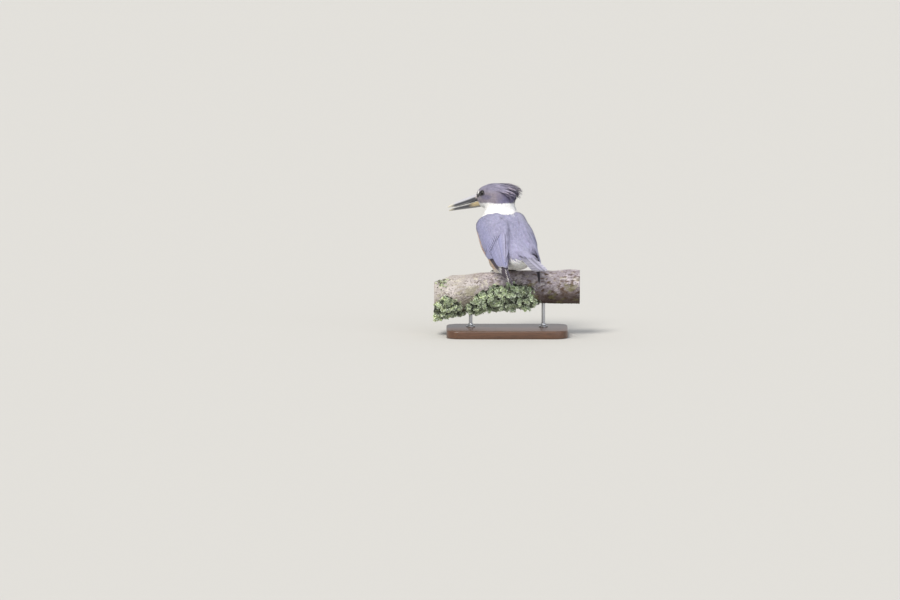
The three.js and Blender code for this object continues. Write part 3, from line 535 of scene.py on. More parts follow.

# %% [markdown]
# ## Markings
# One function gives the plumage's colour at any place on the bird, in the bird's own frame, and
# both the skin and every feather read it, so what shows between two feathers matches them; the
# skin takes it darker, as painted shade under the feathers.

# %% Palette
SLATE_CROWN = linear("#918da3")
SLATE_CHEEK = linear("#89818d")
SLATE_NAPE = linear("#6d6983")
LILAC_BACK = linear("#9594ae")
LILAC_RUMP = linear("#9c9ab4")
BLUE_WING = linear("#8e8fb2")
WHITE = linear("#f6f5f3")
CREAM = linear("#ecdcc4")
RUSTY = linear("#d19463")
BLACK_SLATE = linear("#0e0e12")
CREST_TIP = linear("#c6b8c4")


def blend(base, over, share):
    return base + (over - base) * np.asarray(share)[:, None]


def spot(points, centre, reach):
    """1 inside an ellipsoid, 0 outside, with a soft rim."""
    away_from = np.linalg.norm((points - np.array(centre)) / np.array(reach), axis=1)
    return 1 - smooth(0.75, 1.15, away_from)


def ragged(points, size, seed):
    """Slow noise from -1 to 1, for edges and patches that aren't ruled lines."""
    shift = Vector((seed * 17.3, seed * 5.1, seed * 9.7))
    return np.array([noise.noise(Vector(p) / size + shift) for p in points])


print("back", LILAC_BACK.round(3), "and flanks", RUSTY.round(3), "in linear light")

# %% Markings of head and body
def head_markings(h, wobble):
    """Colours of the head, from points in the head's frame, and where the head ends."""
    side = np.abs(h[:, 1])
    mirrored = stacked(h[:, 0], side, h[:, 2])
    colour = blend(SLATE_CHEEK, SLATE_CROWN, smooth(1, 12, h[:, 2]))
    colour = blend(colour, SLATE_NAPE, smooth(-2, -20, h[:, 0] + 3 * wobble) * smooth(16, 4, h[:, 2]))
    colour = blend(colour, SLATE_NAPE, 0.7 * spot(mirrored, (12, 16, -3), (11, 6, 4)))
    colour = blend(colour, BLACK_SLATE, spot(mirrored, (22, 12, 1.4), (9.6, 7.5, 4.0)))
    colour = blend(colour, BLACK_SLATE, spot(mirrored, (30.5, 8, -2.6), (4.2, 6, 2.8)))
    colour = blend(colour, WHITE, spot(mirrored, (30.6, 7, 2.9), (2.7, 4, 3.0)))
    chin = smooth(-15.5, -17.5, h[:, 2] + 0.6 * wobble) * smooth(8, 14, h[:, 0])
    return blend(colour, WHITE, chin)


def marking(points):
    """Linear colour of the plumage at points in the bird's frame."""
    x, y, z = points.T
    wobble = ragged(points, 7, 1)
    patchy = ragged(points, 14, 2)
    h = bird_to_head(points)
    colour = blend(LILAC_BACK, LILAC_RUMP, smooth(70, 40, z) * smooth(0, -25, x))
    colour = colour * (1 + 0.07 * patchy + 0.05 * wobble)[:, None]
    # Under a line from the breast to the tail's sides the bird is pale.
    line = np.interp(x, [-80, -62, -45, -20, 10, 40, 62], [27, 28, 27, 34, 62, 76, 79])
    under = smooth(line + 1.5, line - 1.5, z + 1.6 * wobble)
    below = blend(WHITE, CREAM, 0.75 * smooth(-25, 0, x) * smooth(60, 30, z))
    band = smooth(58, 62, z) * smooth(0, 20, x)
    flank = smooth(12, 26, np.abs(y)) * smooth(-30, -10, x) * smooth(14, 26, z)
    below = blend(below, RUSTY, np.clip(band + 0.8 * flank, 0, 0.9) * (0.75 + 0.25 * patchy))
    colour = blend(colour, below, under)
    collar_low = 96.5 - 0.11 * (x + 10) + 1.3 * wobble
    collar_top = 114.8 - 0.06 * (x + 15) + 0.9 * wobble
    throat = smooth(8, 20, h[:, 0]) * smooth(-12, -15, h[:, 2])
    collar = smooth(collar_low - 1, collar_low + 1, z) * (1 - smooth(collar_top - 1, collar_top + 1, z))
    on_head = np.clip(smooth(collar_top - 1, collar_top + 1, z), 0, 1)
    colour = blend(colour, WHITE, collar)
    colour = blend(colour, head_markings(h, wobble), on_head)
    return blend(colour, WHITE, throat * smooth(collar_low - 1, collar_low + 1, z))


print("breast band:", marking(np.array([[60.0, 0.0, 68.0]]))[0].round(2))

# %% [markdown]
# ## Plumage finish
# A contour feather is a matt, slightly translucent web of barbs, fine parallel strands that leave
# the shaft at a slant. Keratin with trapped air scatters light, so the roughness is high and the
# gloss low. The strands are about 0.1 mm apart on the bird, drawn here at 0.5 mm so that they show.
# The colour comes from the feather's own attribute, and the strands from its own map, which is in
# centimetres: x across the shaft and y along it.

# %% The plumage material
BARB_MM, BARB_SLANT = 0.5, 0.9
SHAFT_MM = 0.16


def barb_pattern(made):
    """Height of the strands and darkness of the shaft, from the feather's own map."""
    parts = add_node(made, "SeparateXYZ", links={0: add_node(made, "UVMap", {"uv_map": "web"})})
    across = add_node(made, "Math", {"operation": "ABSOLUTE"}, {0: parts.outputs["X"]})
    slanted = add_node(made, "Math", {"operation": "MULTIPLY", 1: BARB_SLANT}, {0: across})
    run = add_node(made, "Math", {"operation": "SUBTRACT"}, {0: parts.outputs["Y"], 1: slanted})
    turns_per_cm = 2 * math.pi * 10 / BARB_MM
    turns = add_node(made, "Math", {"operation": "MULTIPLY", 1: turns_per_cm}, {0: run})
    strands = add_node(made, "Math", {"operation": "SINE"}, {0: turns})
    near = {"interpolation_type": "SMOOTHSTEP", "From Max": SHAFT_MM / 10, "To Min": 1, "To Max": 0}
    return strands, add_node(made, "MapRange", near, {"Value": across})


def plumage_material(name, roughness, shaft_dark, strand_dark, sheen):
    finish = {"Roughness": roughness, "IOR": 1.5, "Specular IOR Level": 0.3}
    finish |= {"Sheen Weight": sheen, "Sheen Roughness": 0.5}
    made, shader = new_material(name, finish)
    strands, shaft = barb_pattern(made)
    patches = grain_over(made, 260, {"Detail": 3, "Roughness": 0.6})
    colour = add_node(made, "VertexColor", {"layer_name": "tint"})
    colour = shaded(made, colour, strands, (-1, 1), (1 - strand_dark, 1 + strand_dark))
    colour = shaded(made, colour, shaft, (0, 1), (1, 1 - shaft_dark))
    colour = shaded(made, colour, patches, (0.3, 0.7), (0.9, 1.08))
    dress(made, shader, colour, strands, 0.35, 0.15 * MM)
    return made


plumage = plumage_material("contour_feather_keratin", 0.85, 0.16, 0.08, 0.2)
print("plumage material:", len(plumage.node_tree.nodes), "nodes")

# %% [markdown]
# ## The folded wings
# A folded wing is a fan of stiff feathers closed over each other: primaries from the hand reach
# the tip, secondaries from the forearm lie over them, and tiers of coverts lie over the roots of
# both like shingles. All of them follow one curved sheet that hugs the body. The sheet is a grid
# of points from the wing's measured edges, pushed clear of the trunk and then smoothed.

# %% The wing's sheet
# Place along the wing; lower edge x, y, z; back edge x, y, z; outward bulge between them.
WING_ROWS = [
    (0.0, 33, 31, 79, 11, 15, 90, 2),
    (0.15, 33, 40, 69, 0, 12, 87, 6),
    (0.35, 11, 42, 47, -15, 10, 82, 11),
    (0.55, -11, 39, 24, -31, 12, 67, 12),
    (0.75, -38, 33, 4, -47, 18, 45, 8),
    (0.9, -60, 27, -9, -60, 24, 25, 4),
    (1.0, -75, 22, -20, -72, 24, 9, 2),
    (1.1, -88, 17, -27, -82, 22, -3, 1),
]
WING_CLEAR = 0.9
WING_LIE = np.array([-0.77, 0, -0.64])
SHEET_ALONG, SHEET_ACROSS, SHEET_END = 33, 18, 1.1


def trunk_samples():
    """Points and outward normals over the left half of the trunk."""
    s, angle = (g.ravel() for g in np.meshgrid(np.linspace(0, 1, 61), np.linspace(0, math.pi, 31)))
    at = ring_points(BODY_ROWS, s, angle)
    along = ring_points(BODY_ROWS, s + 0.01, angle) - ring_points(BODY_ROWS, s - 0.01, angle)
    around = ring_points(BODY_ROWS, s, angle + 0.02) - ring_points(BODY_ROWS, s, angle - 0.02)
    normals = unit(np.cross(around, along))
    outwards = at - ring_points(BODY_ROWS, s, angle, -4)
    return at, normals * np.sign(dots(normals, outwards))


TRUNK_AT, TRUNK_NORMALS = trunk_samples()
trunk_tree = points_tree(TRUNK_AT)


def outside_trunk(point):
    """The point, moved out to at least WING_CLEAR from the trunk."""
    _, i, _ = trunk_tree.find(point)
    height = (point - TRUNK_AT[i]) @ TRUNK_NORMALS[i]
    return point + TRUNK_NORMALS[i] * max(0.0, WING_CLEAR - height)


def designed_wing(a, b):
    starts = [row[0] for row in WING_ROWS]
    i = min(int(np.searchsorted(starts, a, side="left")) - 1, len(WING_ROWS) - 2)
    i = max(i, 0)
    t = (a - starts[i]) / (starts[i + 1] - starts[i])
    row = along_rows(WING_ROWS, np.array([(i + t) / (len(WING_ROWS) - 1)]))[0]
    low, high, bulge = row[1:4], row[4:7], row[7]
    out = unit(np.cross(high - low, WING_LIE))
    out = -out if out[1] < 0 else out
    return mix(low, high, b) + out * bulge * 4 * b * (1 - b)


wing_reach = np.linalg.norm(designed_wing(1.0, 0.0) - designed_wing(0.0, 0.0))
print("closed wing:", wing_reach.round(1), "mm along its lower edge")

# %% The sheet as a grid
def sheet_point(i, k):
    return outside_trunk(designed_wing(i / SHEET_ALONG * SHEET_END, k / SHEET_ACROSS))


sheet_grid = np.array(
    [[sheet_point(i, k) for k in range(SHEET_ACROSS + 1)] for i in range(SHEET_ALONG + 1)]
)
for _ in range(3):
    for i in range(1, SHEET_ALONG):
        for k in range(1, SHEET_ACROSS):
            around = sheet_grid[[i - 1, i + 1, i, i], [k, k, k - 1, k + 1]].mean(0)
            sheet_grid[i, k] = outside_trunk(mix(sheet_grid[i, k], around, 0.6))


def wing_sheet(a, b):
    """The sheet at a from shoulder (0) to tip (1) and b from the lower edge (0) to the back (1)."""
    u, v = np.asarray(a) / SHEET_END * SHEET_ALONG, np.asarray(b) * SHEET_ACROSS
    i = np.clip(np.floor(u), 0, SHEET_ALONG - 1).astype(int)
    k = np.clip(np.floor(v), 0, SHEET_ACROSS - 1).astype(int)
    fu, fv = (u - i)[..., None], (v - k)[..., None]
    low = mix(sheet_grid[i, k], sheet_grid[i, k + 1], fv)
    high = mix(sheet_grid[i + 1, k], sheet_grid[i + 1, k + 1], fv)
    return mix(low, high, fu)


def wing_up(a, b):
    along = unit(wing_sheet(a + 0.03, b) - wing_sheet(a - 0.03, b))
    across = unit(wing_sheet(a, b + 0.05) - wing_sheet(a, b - 0.05))
    normal = unit(np.cross(along, across))
    return normal * np.where(normal[..., 1:2] < 0, -1, 1)


print("wing sheet:", sheet_grid.shape[:2], "points")

# %% [markdown]
# ## A guide under the mantle and the small coverts
# On a resting bird the mantle, the scapulars and the wing's small coverts make one smooth surface
# over back and wings, with no step between them. To lay feathers so, a guide surface is made from
# the skin and the two folded wings, as a sheet would lie over them: the forms are joined, remeshed
# and smoothed until the troughs between them fill. It only steers feathers and is then removed.

# %% The wing's upper surface
PLATE_FROM, PLATE_TO = 0.02, 0.46


def plate_edges(a):
    shoulder = smooth(-0.12, 0.3, (a - PLATE_FROM) / (PLATE_TO - PLATE_FROM))
    return mix(0.3, 0.015, shoulder), mix(0.66, 0.98, shoulder)


def wing_top(a, b):
    """Height of the closed wing's feathers over the sheet, without the small coverts."""
    low, high = plate_edges(a)
    share = np.clip((b - low) / (high - low), 0, 1)
    t = np.clip((a - PLATE_FROM) / (PLATE_TO - PLATE_FROM), 0, 1)
    oval = np.sqrt(np.clip(1 - np.abs(2 * share - 1) ** 5, 0, 1))
    plate = 0.2 + mix(3.9, 2.0, t) * oval * mix(1, 0.45, smooth(0.5, 1, share)) * smooth(-0.12, 0.3, t)
    stack = mix(2.4, 4.6, smooth(0, 0.3, b)) + 2.1 * smooth(0.3, 0.85, b)
    return mix(plate, stack, smooth(0.15, 0.42, a))


def wing_form(name, mirror, start, end, drop=0.0):
    """A closed solid of the folded wing between two places along it; mirror is 1 or -1."""
    rings = []
    for a in np.linspace(start, end, 34):
        b = np.linspace(plate_edges(a)[0], 1, 20)
        here = np.full_like(b, a)
        sheet, up = wing_sheet(here, b), wing_up(here, b)
        over = sheet + up * (wing_top(here, b) - drop)[:, None]
        rings.append(np.concatenate([over, (sheet - up * 2.5)[::-1]]))
    return mesh_piece(name, *lofted(np.array(rings) * (1, mirror, 1)))


closed_stack = wing_top(np.full(3, 0.6), np.array([0.1, 0.5, 0.9]))
print("feathers over the sheet at the wing's middle:", closed_stack.round(1), "mm")

# %% The guide
GUIDE_VOXEL = 1.6
OUT_OF_BACK = np.array((-0.78, 0, 0.62))
body_form = mesh_piece("guide", skin_points + skin_normals * 1.2, skin_triangles)
wing_forms = [wing_form("wing_form", side, 0.02, 0.80) for side in (1, -1)]
choose(body_form, wing_forms)
bpy.ops.object.join()
guide = bpy.context.object
apply_modifier(guide, "REMESH", mode="VOXEL", voxel_size=GUIDE_VOXEL)
before = points_of(guide)
apply_modifier(guide, "SMOOTH", factor=0.8, iterations=60)
after = points_of(guide)
# Smoothing fills troughs and wears down ridges. Only the filling is kept, on the upper side.
moved_out = dots(after - before, normals_of(guide))[:, 0]
upper = smooth(-0.1, 0.25, normals_of(guide) @ OUT_OF_BACK)
keep = np.where(moved_out > 0, upper, 0.15 * upper)
move_points(guide, mix(before, after, keep[:, None]))
apply_modifier(guide, "SMOOTH", factor=0.5, iterations=3)
guide_points, guide_triangles, guide_normals = points_of(guide), triangles_of(guide), normals_of(guide)
guide_tree = surface_tree(guide_points, guide_triangles)
bpy.data.objects.remove(guide)
print("guide:", len(guide_points), "points")

# Where each place on the guide is on the wing, if it is.
grid_a, grid_b = stacked(np.linspace(0, 1, 101)[:, None], np.linspace(0, 1, 61)).reshape(-1, 2).T
tops = wing_sheet(grid_a, grid_b) + wing_up(grid_a, grid_b) * wing_top(grid_a, grid_b)[:, None]
top_tree = points_tree(tops)


def wing_place(points):
    """For each point: place along the wing, place across it, and distance from its upper surface."""
    found = [top_tree.find((p[0], abs(p[1]), p[2])) for p in points]
    index = np.array([f[1] for f in found])
    return grid_a[index], grid_b[index], np.array([f[2] for f in found])

# %% [markdown]
# ## Which way the feathers lie
# Contour feathers overlap like roof tiles, from the bill back over the head, down the neck and
# along the body to the tail. Each root's direction is that lie, laid flat on the skin.

# %% The lie of the coat
DOWN_BODY, DOWN_TAIL, DOWN_NECK = np.array([(-0.62, 0, -0.78), (-0.95, 0, -0.33), (-0.30, 0, -0.95)])
# The same on the head, in its own frame.
BACK_CROWN, BACK_CHEEK = np.array([(-1.0, 0, -0.12), (-0.85, 0, -0.5)])


def laid_flat(flow, normals):
    """Directions made level with the surface under them."""
    return flow - normals * dots(flow, normals)


def lie(points, normals):
    x, _, z = points.T
    h = bird_to_head(points)
    head_share = 1 - smooth(1.0, 1.55, head_level(points))
    neck_share = smooth(78, 98, z)
    tail_share = smooth(-25, -60, x)
    body = blend(DOWN_BODY, DOWN_TAIL, tail_share)
    body = blend(body, DOWN_NECK, neck_share)
    low = smooth(-8, -20, h[:, 2])
    head = blend(BACK_CROWN, BACK_CHEEK, low)
    return unit(laid_flat(blend(body, turned(head, HEAD_TURN), head_share), normals))


print("lie on the back:", lie(np.array([[0.0, 0.0, 100.0]]), np.array([[0.0, 0.0, 1.0]]))[0].round(2))

# %% [markdown]
# ## Where the feathers grow
# Real feathers stand at an even distance from their neighbours without forming rows to the eye.
# Many random places on a surface are drawn, from a fixed seed, and any that lies too near an
# accepted one is dropped. A particle system spreads roots too, but can't keep them apart. The
# distance grows from 0.7 mm on the face to 1.2 mm on the body. The back, the mantle and the wings'
# small coverts grow on the guide, and all the rest on the skin.

# %% Even random roots
DRAWN_PER_ROOT = 7


def feather_spacing(points):
    h = bird_to_head(points)
    head_share = 1 - smooth(1.05, 1.45, head_level(points))
    face = smooth(2, 24, h[:, 0])
    collar = smooth(80, 95, points[:, 2])
    return mix(mix(1.22, 1.1, collar), mix(0.92, 0.7, face), head_share)


def thinned(drawn, reach):
    """Indices of drawn points that keep at least reach between them, first come first kept."""
    tree = points_tree(drawn)
    free, kept = np.ones(len(drawn), bool), []
    for i, p in enumerate(drawn):
        if free[i]:
            kept.append(i)
            for _, j, _ in tree.find_range(p, reach[i]):
                free[j] = False
    return np.array(kept)


def spread_roots(points, triangles, normals, wanted, seed):
    """Roots and normals over the wanted triangles, no two nearer than the spacing there."""
    random = np.random.default_rng(seed)
    corners = points[triangles]
    cross = np.cross(corners[:, 1] - corners[:, 0], corners[:, 2] - corners[:, 0])
    density = wanted * np.linalg.norm(cross, axis=1) / 2 / feather_spacing(corners.mean(1)) ** 2
    count = int(density.sum() * DRAWN_PER_ROOT)
    picked = random.choice(len(density), count, p=density / density.sum())
    a, b = np.sqrt(random.random(count)), random.random(count)
    weights = stacked(1 - a, a * (1 - b), a * b)
    drawn = np.einsum("nk,nkd->nd", weights, corners[picked])
    kept = thinned(drawn, feather_spacing(drawn))
    found = np.einsum("nk,nkd->nd", weights[kept], normals[triangles[picked[kept]]])
    return drawn[kept], unit(found)


def upper_side(points, normals):
    """Which places are on the back, between the collar and the tail."""
    return (normals @ OUT_OF_BACK > 0.12) & (points[:, 2] < 95) & (head_level(points) > 1.3)

# %% Roots on the skin and on the guide
EYE_RIM = EYE_RADIUS + 0.6
skin_middles = skin_points[skin_triangles].mean(1)
to_guide = np.array([guide_tree.find_nearest(p)[3] for p in skin_points])[skin_triangles].mean(1)
skin_wanted = (to_guide < 2.6) & ~upper_side(skin_middles, skin_normals[skin_triangles].mean(1))
roots, root_normals = spread_roots(skin_points, skin_triangles, skin_normals, skin_wanted, 7)

guide_middles = guide_points[guide_triangles].mean(1)
along_wing, across_wing, off_wing = wing_place(guide_middles)
covert_part = (off_wing < 2.2) & (along_wing < 0.47) & (along_wing > 0)
wing_edge_y = wing_sheet(along_wing, np.ones_like(along_wing))[:, 1]
beyond_coverts = (along_wing >= 0.47) & (np.abs(guide_middles[:, 1]) > wing_edge_y + 2.5) & (off_wing < 14)
mantle_part = upper_side(guide_middles, guide_normals[guide_triangles].mean(1)) & ~beyond_coverts
guide_wanted = covert_part | mantle_part
back_roots, back_normals = spread_roots(guide_points, guide_triangles, guide_normals, guide_wanted, 8)
print("roots on the skin:", len(roots), "and on the guide:", len(back_roots))

# %% [markdown]
# ## One feather
# A contour feather's visible part is a rounded blade, cambered across, with loose barbs at its
# end. The blade is a closed, lens-thin solid: a rim, a raised line along the shaft above and a
# second line just under it. Two patterns are used, a fuller one for the body and a simple one for
# the small feathers of the head.

# %% Blades
def blade_pattern(rim, tip_y, shaft):
    """A closed blade from its rim (x, y from root to tip, one side), tip and shaft's y values.

    Returns points as (x, y, height), triangles, and which pairs of points make the rim."""
    count = len(rim)
    left = [(-x, y, 0.0) for x, y in rim]
    right = [(x, y, 0.0) for x, y in rim]
    tip = (0.0, tip_y, 0.0)
    over = [(0.0, y, 1.0) for y in shaft]
    under = [(0.0, y, -0.35) for y in (shaft[0], shaft[-1])]
    points = np.array(left + right + [tip] + over + under)
    tip_at, over_at = 2 * count, 2 * count + 1
    under_at = over_at + len(shaft)
    faces, rim_pairs = [], np.zeros((len(points), len(points)), bool)
    for near in (0, count):
        chain = [near + i for i in range(count)] + [tip_at]
        rim_pairs[chain[:-1], chain[1:]] = rim_pairs[chain[1:], chain[:-1]] = True
        faces += side_faces(points, chain, [over_at + i for i in range(len(shaft))], near > 0)
        faces += side_faces(points, chain, [under_at, under_at + 1], near == 0)
    around = [math.atan2(y - shaft[-1], x) for x, y in rim if y > shaft[-1]]
    assert around == sorted(around), "the rim's notches fold under the blade"
    faces += [(0, over_at, under_at), (count, under_at, over_at)]
    return points, outward(points, np.array(faces)), rim_pairs


def side_faces(points, chain, line, flip):
    """Triangles between a rim chain and a shaft line, always taking the shorter next step."""
    i = j = 0
    faces = []
    while i < len(chain) - 1 or j < len(line) - 1:
        step_rim = points[chain[i + 1]][1] if i < len(chain) - 1 else math.inf
        step_line = points[line[j + 1]][1] if j < len(line) - 1 else math.inf
        if step_rim <= step_line:
            face, i = (chain[i], chain[i + 1], line[j]), i + 1
        else:
            face, j = (chain[i], line[j + 1], line[j]), j + 1
        faces.append(face[::-1] if flip else face)
    return faces


BODY_RIM = [
    (0.25, 0.0), (0.8, 0.3), (1.0, 0.58), (0.95, 0.8), (0.78, 0.76),
    (0.68, 0.93), (0.5, 0.86), (0.38, 1.0), (0.2, 0.93),
]
HEAD_RIM = [(0.3, 0.0), (0.95, 0.45), (0.86, 0.82), (0.58, 0.8), (0.38, 1.0)]
BODY_BLADE = blade_pattern(BODY_RIM, 1.05, [0.0, 0.25, 0.5])
HEAD_BLADE = blade_pattern(HEAD_RIM, 0.92, [0.0, 0.5])
print("triangles in a body feather:", len(BODY_BLADE[1]), "and in a head feather:", len(HEAD_BLADE[1]))

# %% [markdown]
# ## Laying feathers
# Each feather bends along the body. Copies of one straight feather would stand off where the body
# is round and sink in where it is hollow. So its root is just under the skin, its middle and tip
# are set a given height over the nearest skin, and a curve through the three carries the blade.

# %% Laying feathers over the skin
CAMBER = 0.10
ROOT_DEPTH = 0.25
BLACKEST, WHITEST = 0.003, 0.93
BAKE_PATCH = 0.003
HEAD_EDGE = 1.22


def over_surface(tree, points, height):
    """Points moved to a height over the nearest place on a surface, and the normals there."""
    places, normals = np.empty_like(points), np.empty_like(points)
    for i, p in enumerate(points):
        place, normal, _, _ = tree.find_nearest(p)
        places[i], normals[i] = place, normal
    return places + normals * np.asarray(height).reshape(-1, 1), normals


def bent_blades(pattern, root, middle, end, normals, half_width, thick, tints, bake_places):
    """Blades along the curve through root, middle and end: points, faces, tints and maps."""
    shape, faces, _ = pattern
    x, y, lift = shape.T
    count, size = len(root), len(shape)
    w0, w1, w2 = (1 - y) * (1 - 2 * y), 4 * y * (1 - y), y * (2 * y - 1)
    curve = root[:, None] * w0[:, None] + middle[:, None] * w1[:, None] + end[:, None] * w2[:, None]
    along = unit(end - root)
    across = unit(np.cross(along, normals))
    rise = thick[:, None] * lift[None] - CAMBER * half_width[:, None] * x[None] ** 2
    points = curve + across[:, None] * (half_width[:, None] * x[None])[..., None]
    points = points + normals[:, None] * rise[..., None]
    length = np.linalg.norm(end - root, axis=1)
    web = stacked(half_width[:, None] * x[None] / 10, length[:, None] * y[None] / 10)
    bake = bake_places[:, None] + stacked(x / 2, y - 0.5) * BAKE_PATCH
    all_faces = faces[None] + (np.arange(count) * size)[:, None, None]
    return (
        points.reshape(-1, 3),
        all_faces.reshape(-1, 3),
        np.repeat(tints, size, axis=0) * np.tile(painted_feather_light(x, y), count)[:, None],
        {"OFBake": bake.reshape(-1, 2), "web": web.reshape(-1, 2)},
    )


def crisp_rims(piece, size, is_rim):
    """Marks rims sharp, so that a thin blade is shaded flat and not as a cushion.

    is_rim tells them from an edge's two points, as numbered in one blade of size points."""
    edges = np.empty(len(piece.data.edges) * 2, np.int32)
    piece.data.edges.foreach_get("vertices", edges)
    sharp = piece.data.attributes.new("sharp_edge", "BOOLEAN", "EDGE")
    sharp.data.foreach_set("value", is_rim(*(edges.reshape(-1, 2) % size).T))


def blades_piece(name, slot, pattern, roots, curve, normals, half_width, thick, tints, fray=None):
    """A piece of blades, each along its curve of three points; fray is how far each point pales."""
    points, faces, colours, maps = bent_blades(
        pattern, *curve, normals, half_width, thick, tints, unwrapped(roots)
    )
    if fray is not None:
        colours = blend(colours, CREST_TIP, fray.ravel())
    piece = mesh_piece(name, bird_to_stand(points), faces, colours, maps)
    crisp_rims(piece, len(pattern[0]), lambda first, second: pattern[2][first, second])
    hand_over(piece, plumage, slot)
    print(name, ":", len(roots), "feathers,", len(faces), "triangles")


def painted_feather_light(x, y):
    """A feather is painted a little darker towards its root, as shade under the feathers that cover it, and
    paler at its edge near the tip, as painted light.
    """
    return 0.9 + 0.1 * smooth(0.1, 0.7, y) + 0.05 * smooth(0.3, 1, np.abs(x)) * smooth(0.6, 1, y)

# %% A place for every feather on one flat map
def unwrapped(points):
    """A place on a flat map of the skin: round the body and along it, head and trunk apart."""
    h = bird_to_head(points)
    on_head = head_level(points) < HEAD_EDGE
    round_head = np.arctan2(h[:, 1], h[:, 2] + 5) / (2 * math.pi) + 0.5
    along_head = np.clip((h[:, 0] + 38) / 76, 0, 1)
    along_body = np.clip(((points - (20, 0, 110)) @ DOWN_BODY + 30) / 170, 0, 1)
    behind = (points - (5, 0, 55)) @ OUT_OF_BACK
    round_body = np.arctan2(points[:, 1], behind) / (2 * math.pi) + 0.5
    head_place = stacked(0.01 + 0.98 * round_head, 0.66 + 0.33 * along_head)
    body_place = stacked(0.01 + 0.98 * round_body, 0.01 + 0.62 * along_body)
    return np.where(on_head[:, None], head_place, body_place)

# %% A coat piece
def lay_feathers(name, slot, tree, root, normals, flow, tints, pattern, sizes, seed):
    """One coat piece; flow is each feather's lie, sizes its length, half width, thickness, lift."""
    random = np.random.default_rng(seed)
    count = len(root)
    length, half_width, thick, tip_height = sizes
    flow = unit(flow + np.cross(normals, flow) * random.normal(0, 0.13, count)[:, None])
    length = length * random.uniform(0.8, 1.2, count)
    middle, _ = over_surface(tree, root + flow * (length * 0.5)[:, None], tip_height * 0.7)
    end_height = tip_height * random.uniform(0.5, 1.3, count)
    end, end_normals = over_surface(tree, root + flow * length[:, None], end_height)
    curve = (root - normals * ROOT_DEPTH, middle, end)
    tints = tints * random.normal(1, 0.075, (count, 1)) * random.normal(1, 0.016, (count, 3))
    tints, normals = np.clip(tints, BLACKEST, WHITEST), unit(normals + end_normals)
    blades_piece(name, slot, pattern, root, curve, normals, half_width, thick, tints)

# %% [markdown]
# ## The coat, piece by piece
# The coat is cut into a few pieces by region, so that each stays light: face, crown, collar, belly
# with flanks, breast, mantle with rump, and each wing's small coverts. A layer of broad, loose down
# lies under the mantle and the coverts, so that no gap between two feathers looks through, and its
# colour is the plumage's, darkened as painted shade.

# %% The coat over the skin
h_roots = bird_to_head(roots)
mirrored_roots = stacked(h_roots[:, 0], np.abs(h_roots[:, 1]), h_roots[:, 2])
from_eye = np.linalg.norm(mirrored_roots - EYE_AT, axis=1)
under_bill_base = (h_roots[:, 0] > 29.5) & (np.abs(h_roots[:, 1]) < 8.5) & (h_roots[:, 2] < -4.5)
bare = (from_eye < EYE_RIM) | under_bill_base
on_head = (head_level(roots) < HEAD_EDGE) & ~bare
face_share = smooth(0, 22, h_roots[:, 0])
near_eye = smooth(12, 6, from_eye)

is_face = on_head & (h_roots[:, 0] > 8)
is_crown = on_head & ~is_face
below = ~on_head & ~bare
is_collar = below & (roots[:, 2] > 88)
is_belly = below & ~is_collar & (roots[:, 0] < 14)
is_breast = below & ~is_collar & ~is_belly


BODY_SLIM = 0.13


def head_sizes(chosen):
    """Length, half width, thickness and tip height of the head's small feathers."""
    face = face_share[chosen]
    back = smooth(5, -22, h_roots[chosen, 0]) * smooth(-2, 8, h_roots[chosen, 2])
    length = mix(mix(mix(5.6, 8.6, back), 3.6, face), 2.0, near_eye[chosen])
    return length, mix(0.72, 0.45, face), np.full(len(length), 0.06), mix(0.6, 0.32, face)


def body_sizes(chosen, length, lift):
    """The same for the body, where the feathers above the legs hang longer."""
    hang = 1 + 0.6 * smooth(27, 12, roots[chosen, 2]) * smooth(-12, 0, roots[chosen, 0])
    count = len(hang)
    return length * hang, length * BODY_SLIM * hang**0.3, np.full(count, 0.1), np.full(count, lift)


skin_parts = [
    ("coat_face", "body_plumage", is_face, HEAD_BLADE, head_sizes(is_face)),
    ("coat_crown", "body_plumage", is_crown, HEAD_BLADE, head_sizes(is_crown)),
    ("coat_collar", "white_plumage", is_collar, BODY_BLADE, body_sizes(is_collar, 7.6, 0.6)),
    ("coat_belly", "body_plumage", is_belly, BODY_BLADE, body_sizes(is_belly, 10.2, 0.8)),
    ("coat_breast", "body_plumage", is_breast, BODY_BLADE, body_sizes(is_breast, 9.6, 0.75)),
]
for seed, (name, slot, chosen, pattern, sizes) in enumerate(skin_parts, 11):
    root, normals = roots[chosen], root_normals[chosen]
    flow, tints = lie(root, normals), marking(root)
    lay_feathers(name, slot, skin_tree, root, normals, flow, tints, pattern, sizes, seed)

# %% The coat over the guide
along_wing, across_wing, off_wing = wing_place(back_roots)
wing_share = smooth(4.5, 1.5, off_wing) * smooth(0.62, 0.5, along_wing)
mirror = np.where(back_roots[:, 1:2] < 0, -1.0, 1.0) * (0, 1, 0) + (1, 0, 1)
ahead, behind = (wing_sheet(along_wing + step, across_wing) for step in (0.03, -0.03))
wing_flow = laid_flat(unit(ahead - behind) * mirror, back_normals)
back_flow = unit(blend(lie(back_roots, back_normals), unit(wing_flow), wing_share))

wing_tint = blend(BLUE_WING, LILAC_BACK, smooth(0.2, 0.75, across_wing))
wing_tint = wing_tint * (1 + 0.06 * ragged(back_roots, 9, 3))[:, None]
flank_edge = smooth(0.11, 0.05, across_wing + 0.04 * ragged(back_roots, 5, 6))
flank_edge = flank_edge * smooth(0.03, 0.1, along_wing)
wing_tint = blend(wing_tint, mix(RUSTY, CREAM, 0.35), 0.85 * flank_edge)
back_tints = blend(marking(back_roots), wing_tint, smooth(0.1, 0.5, wing_share))

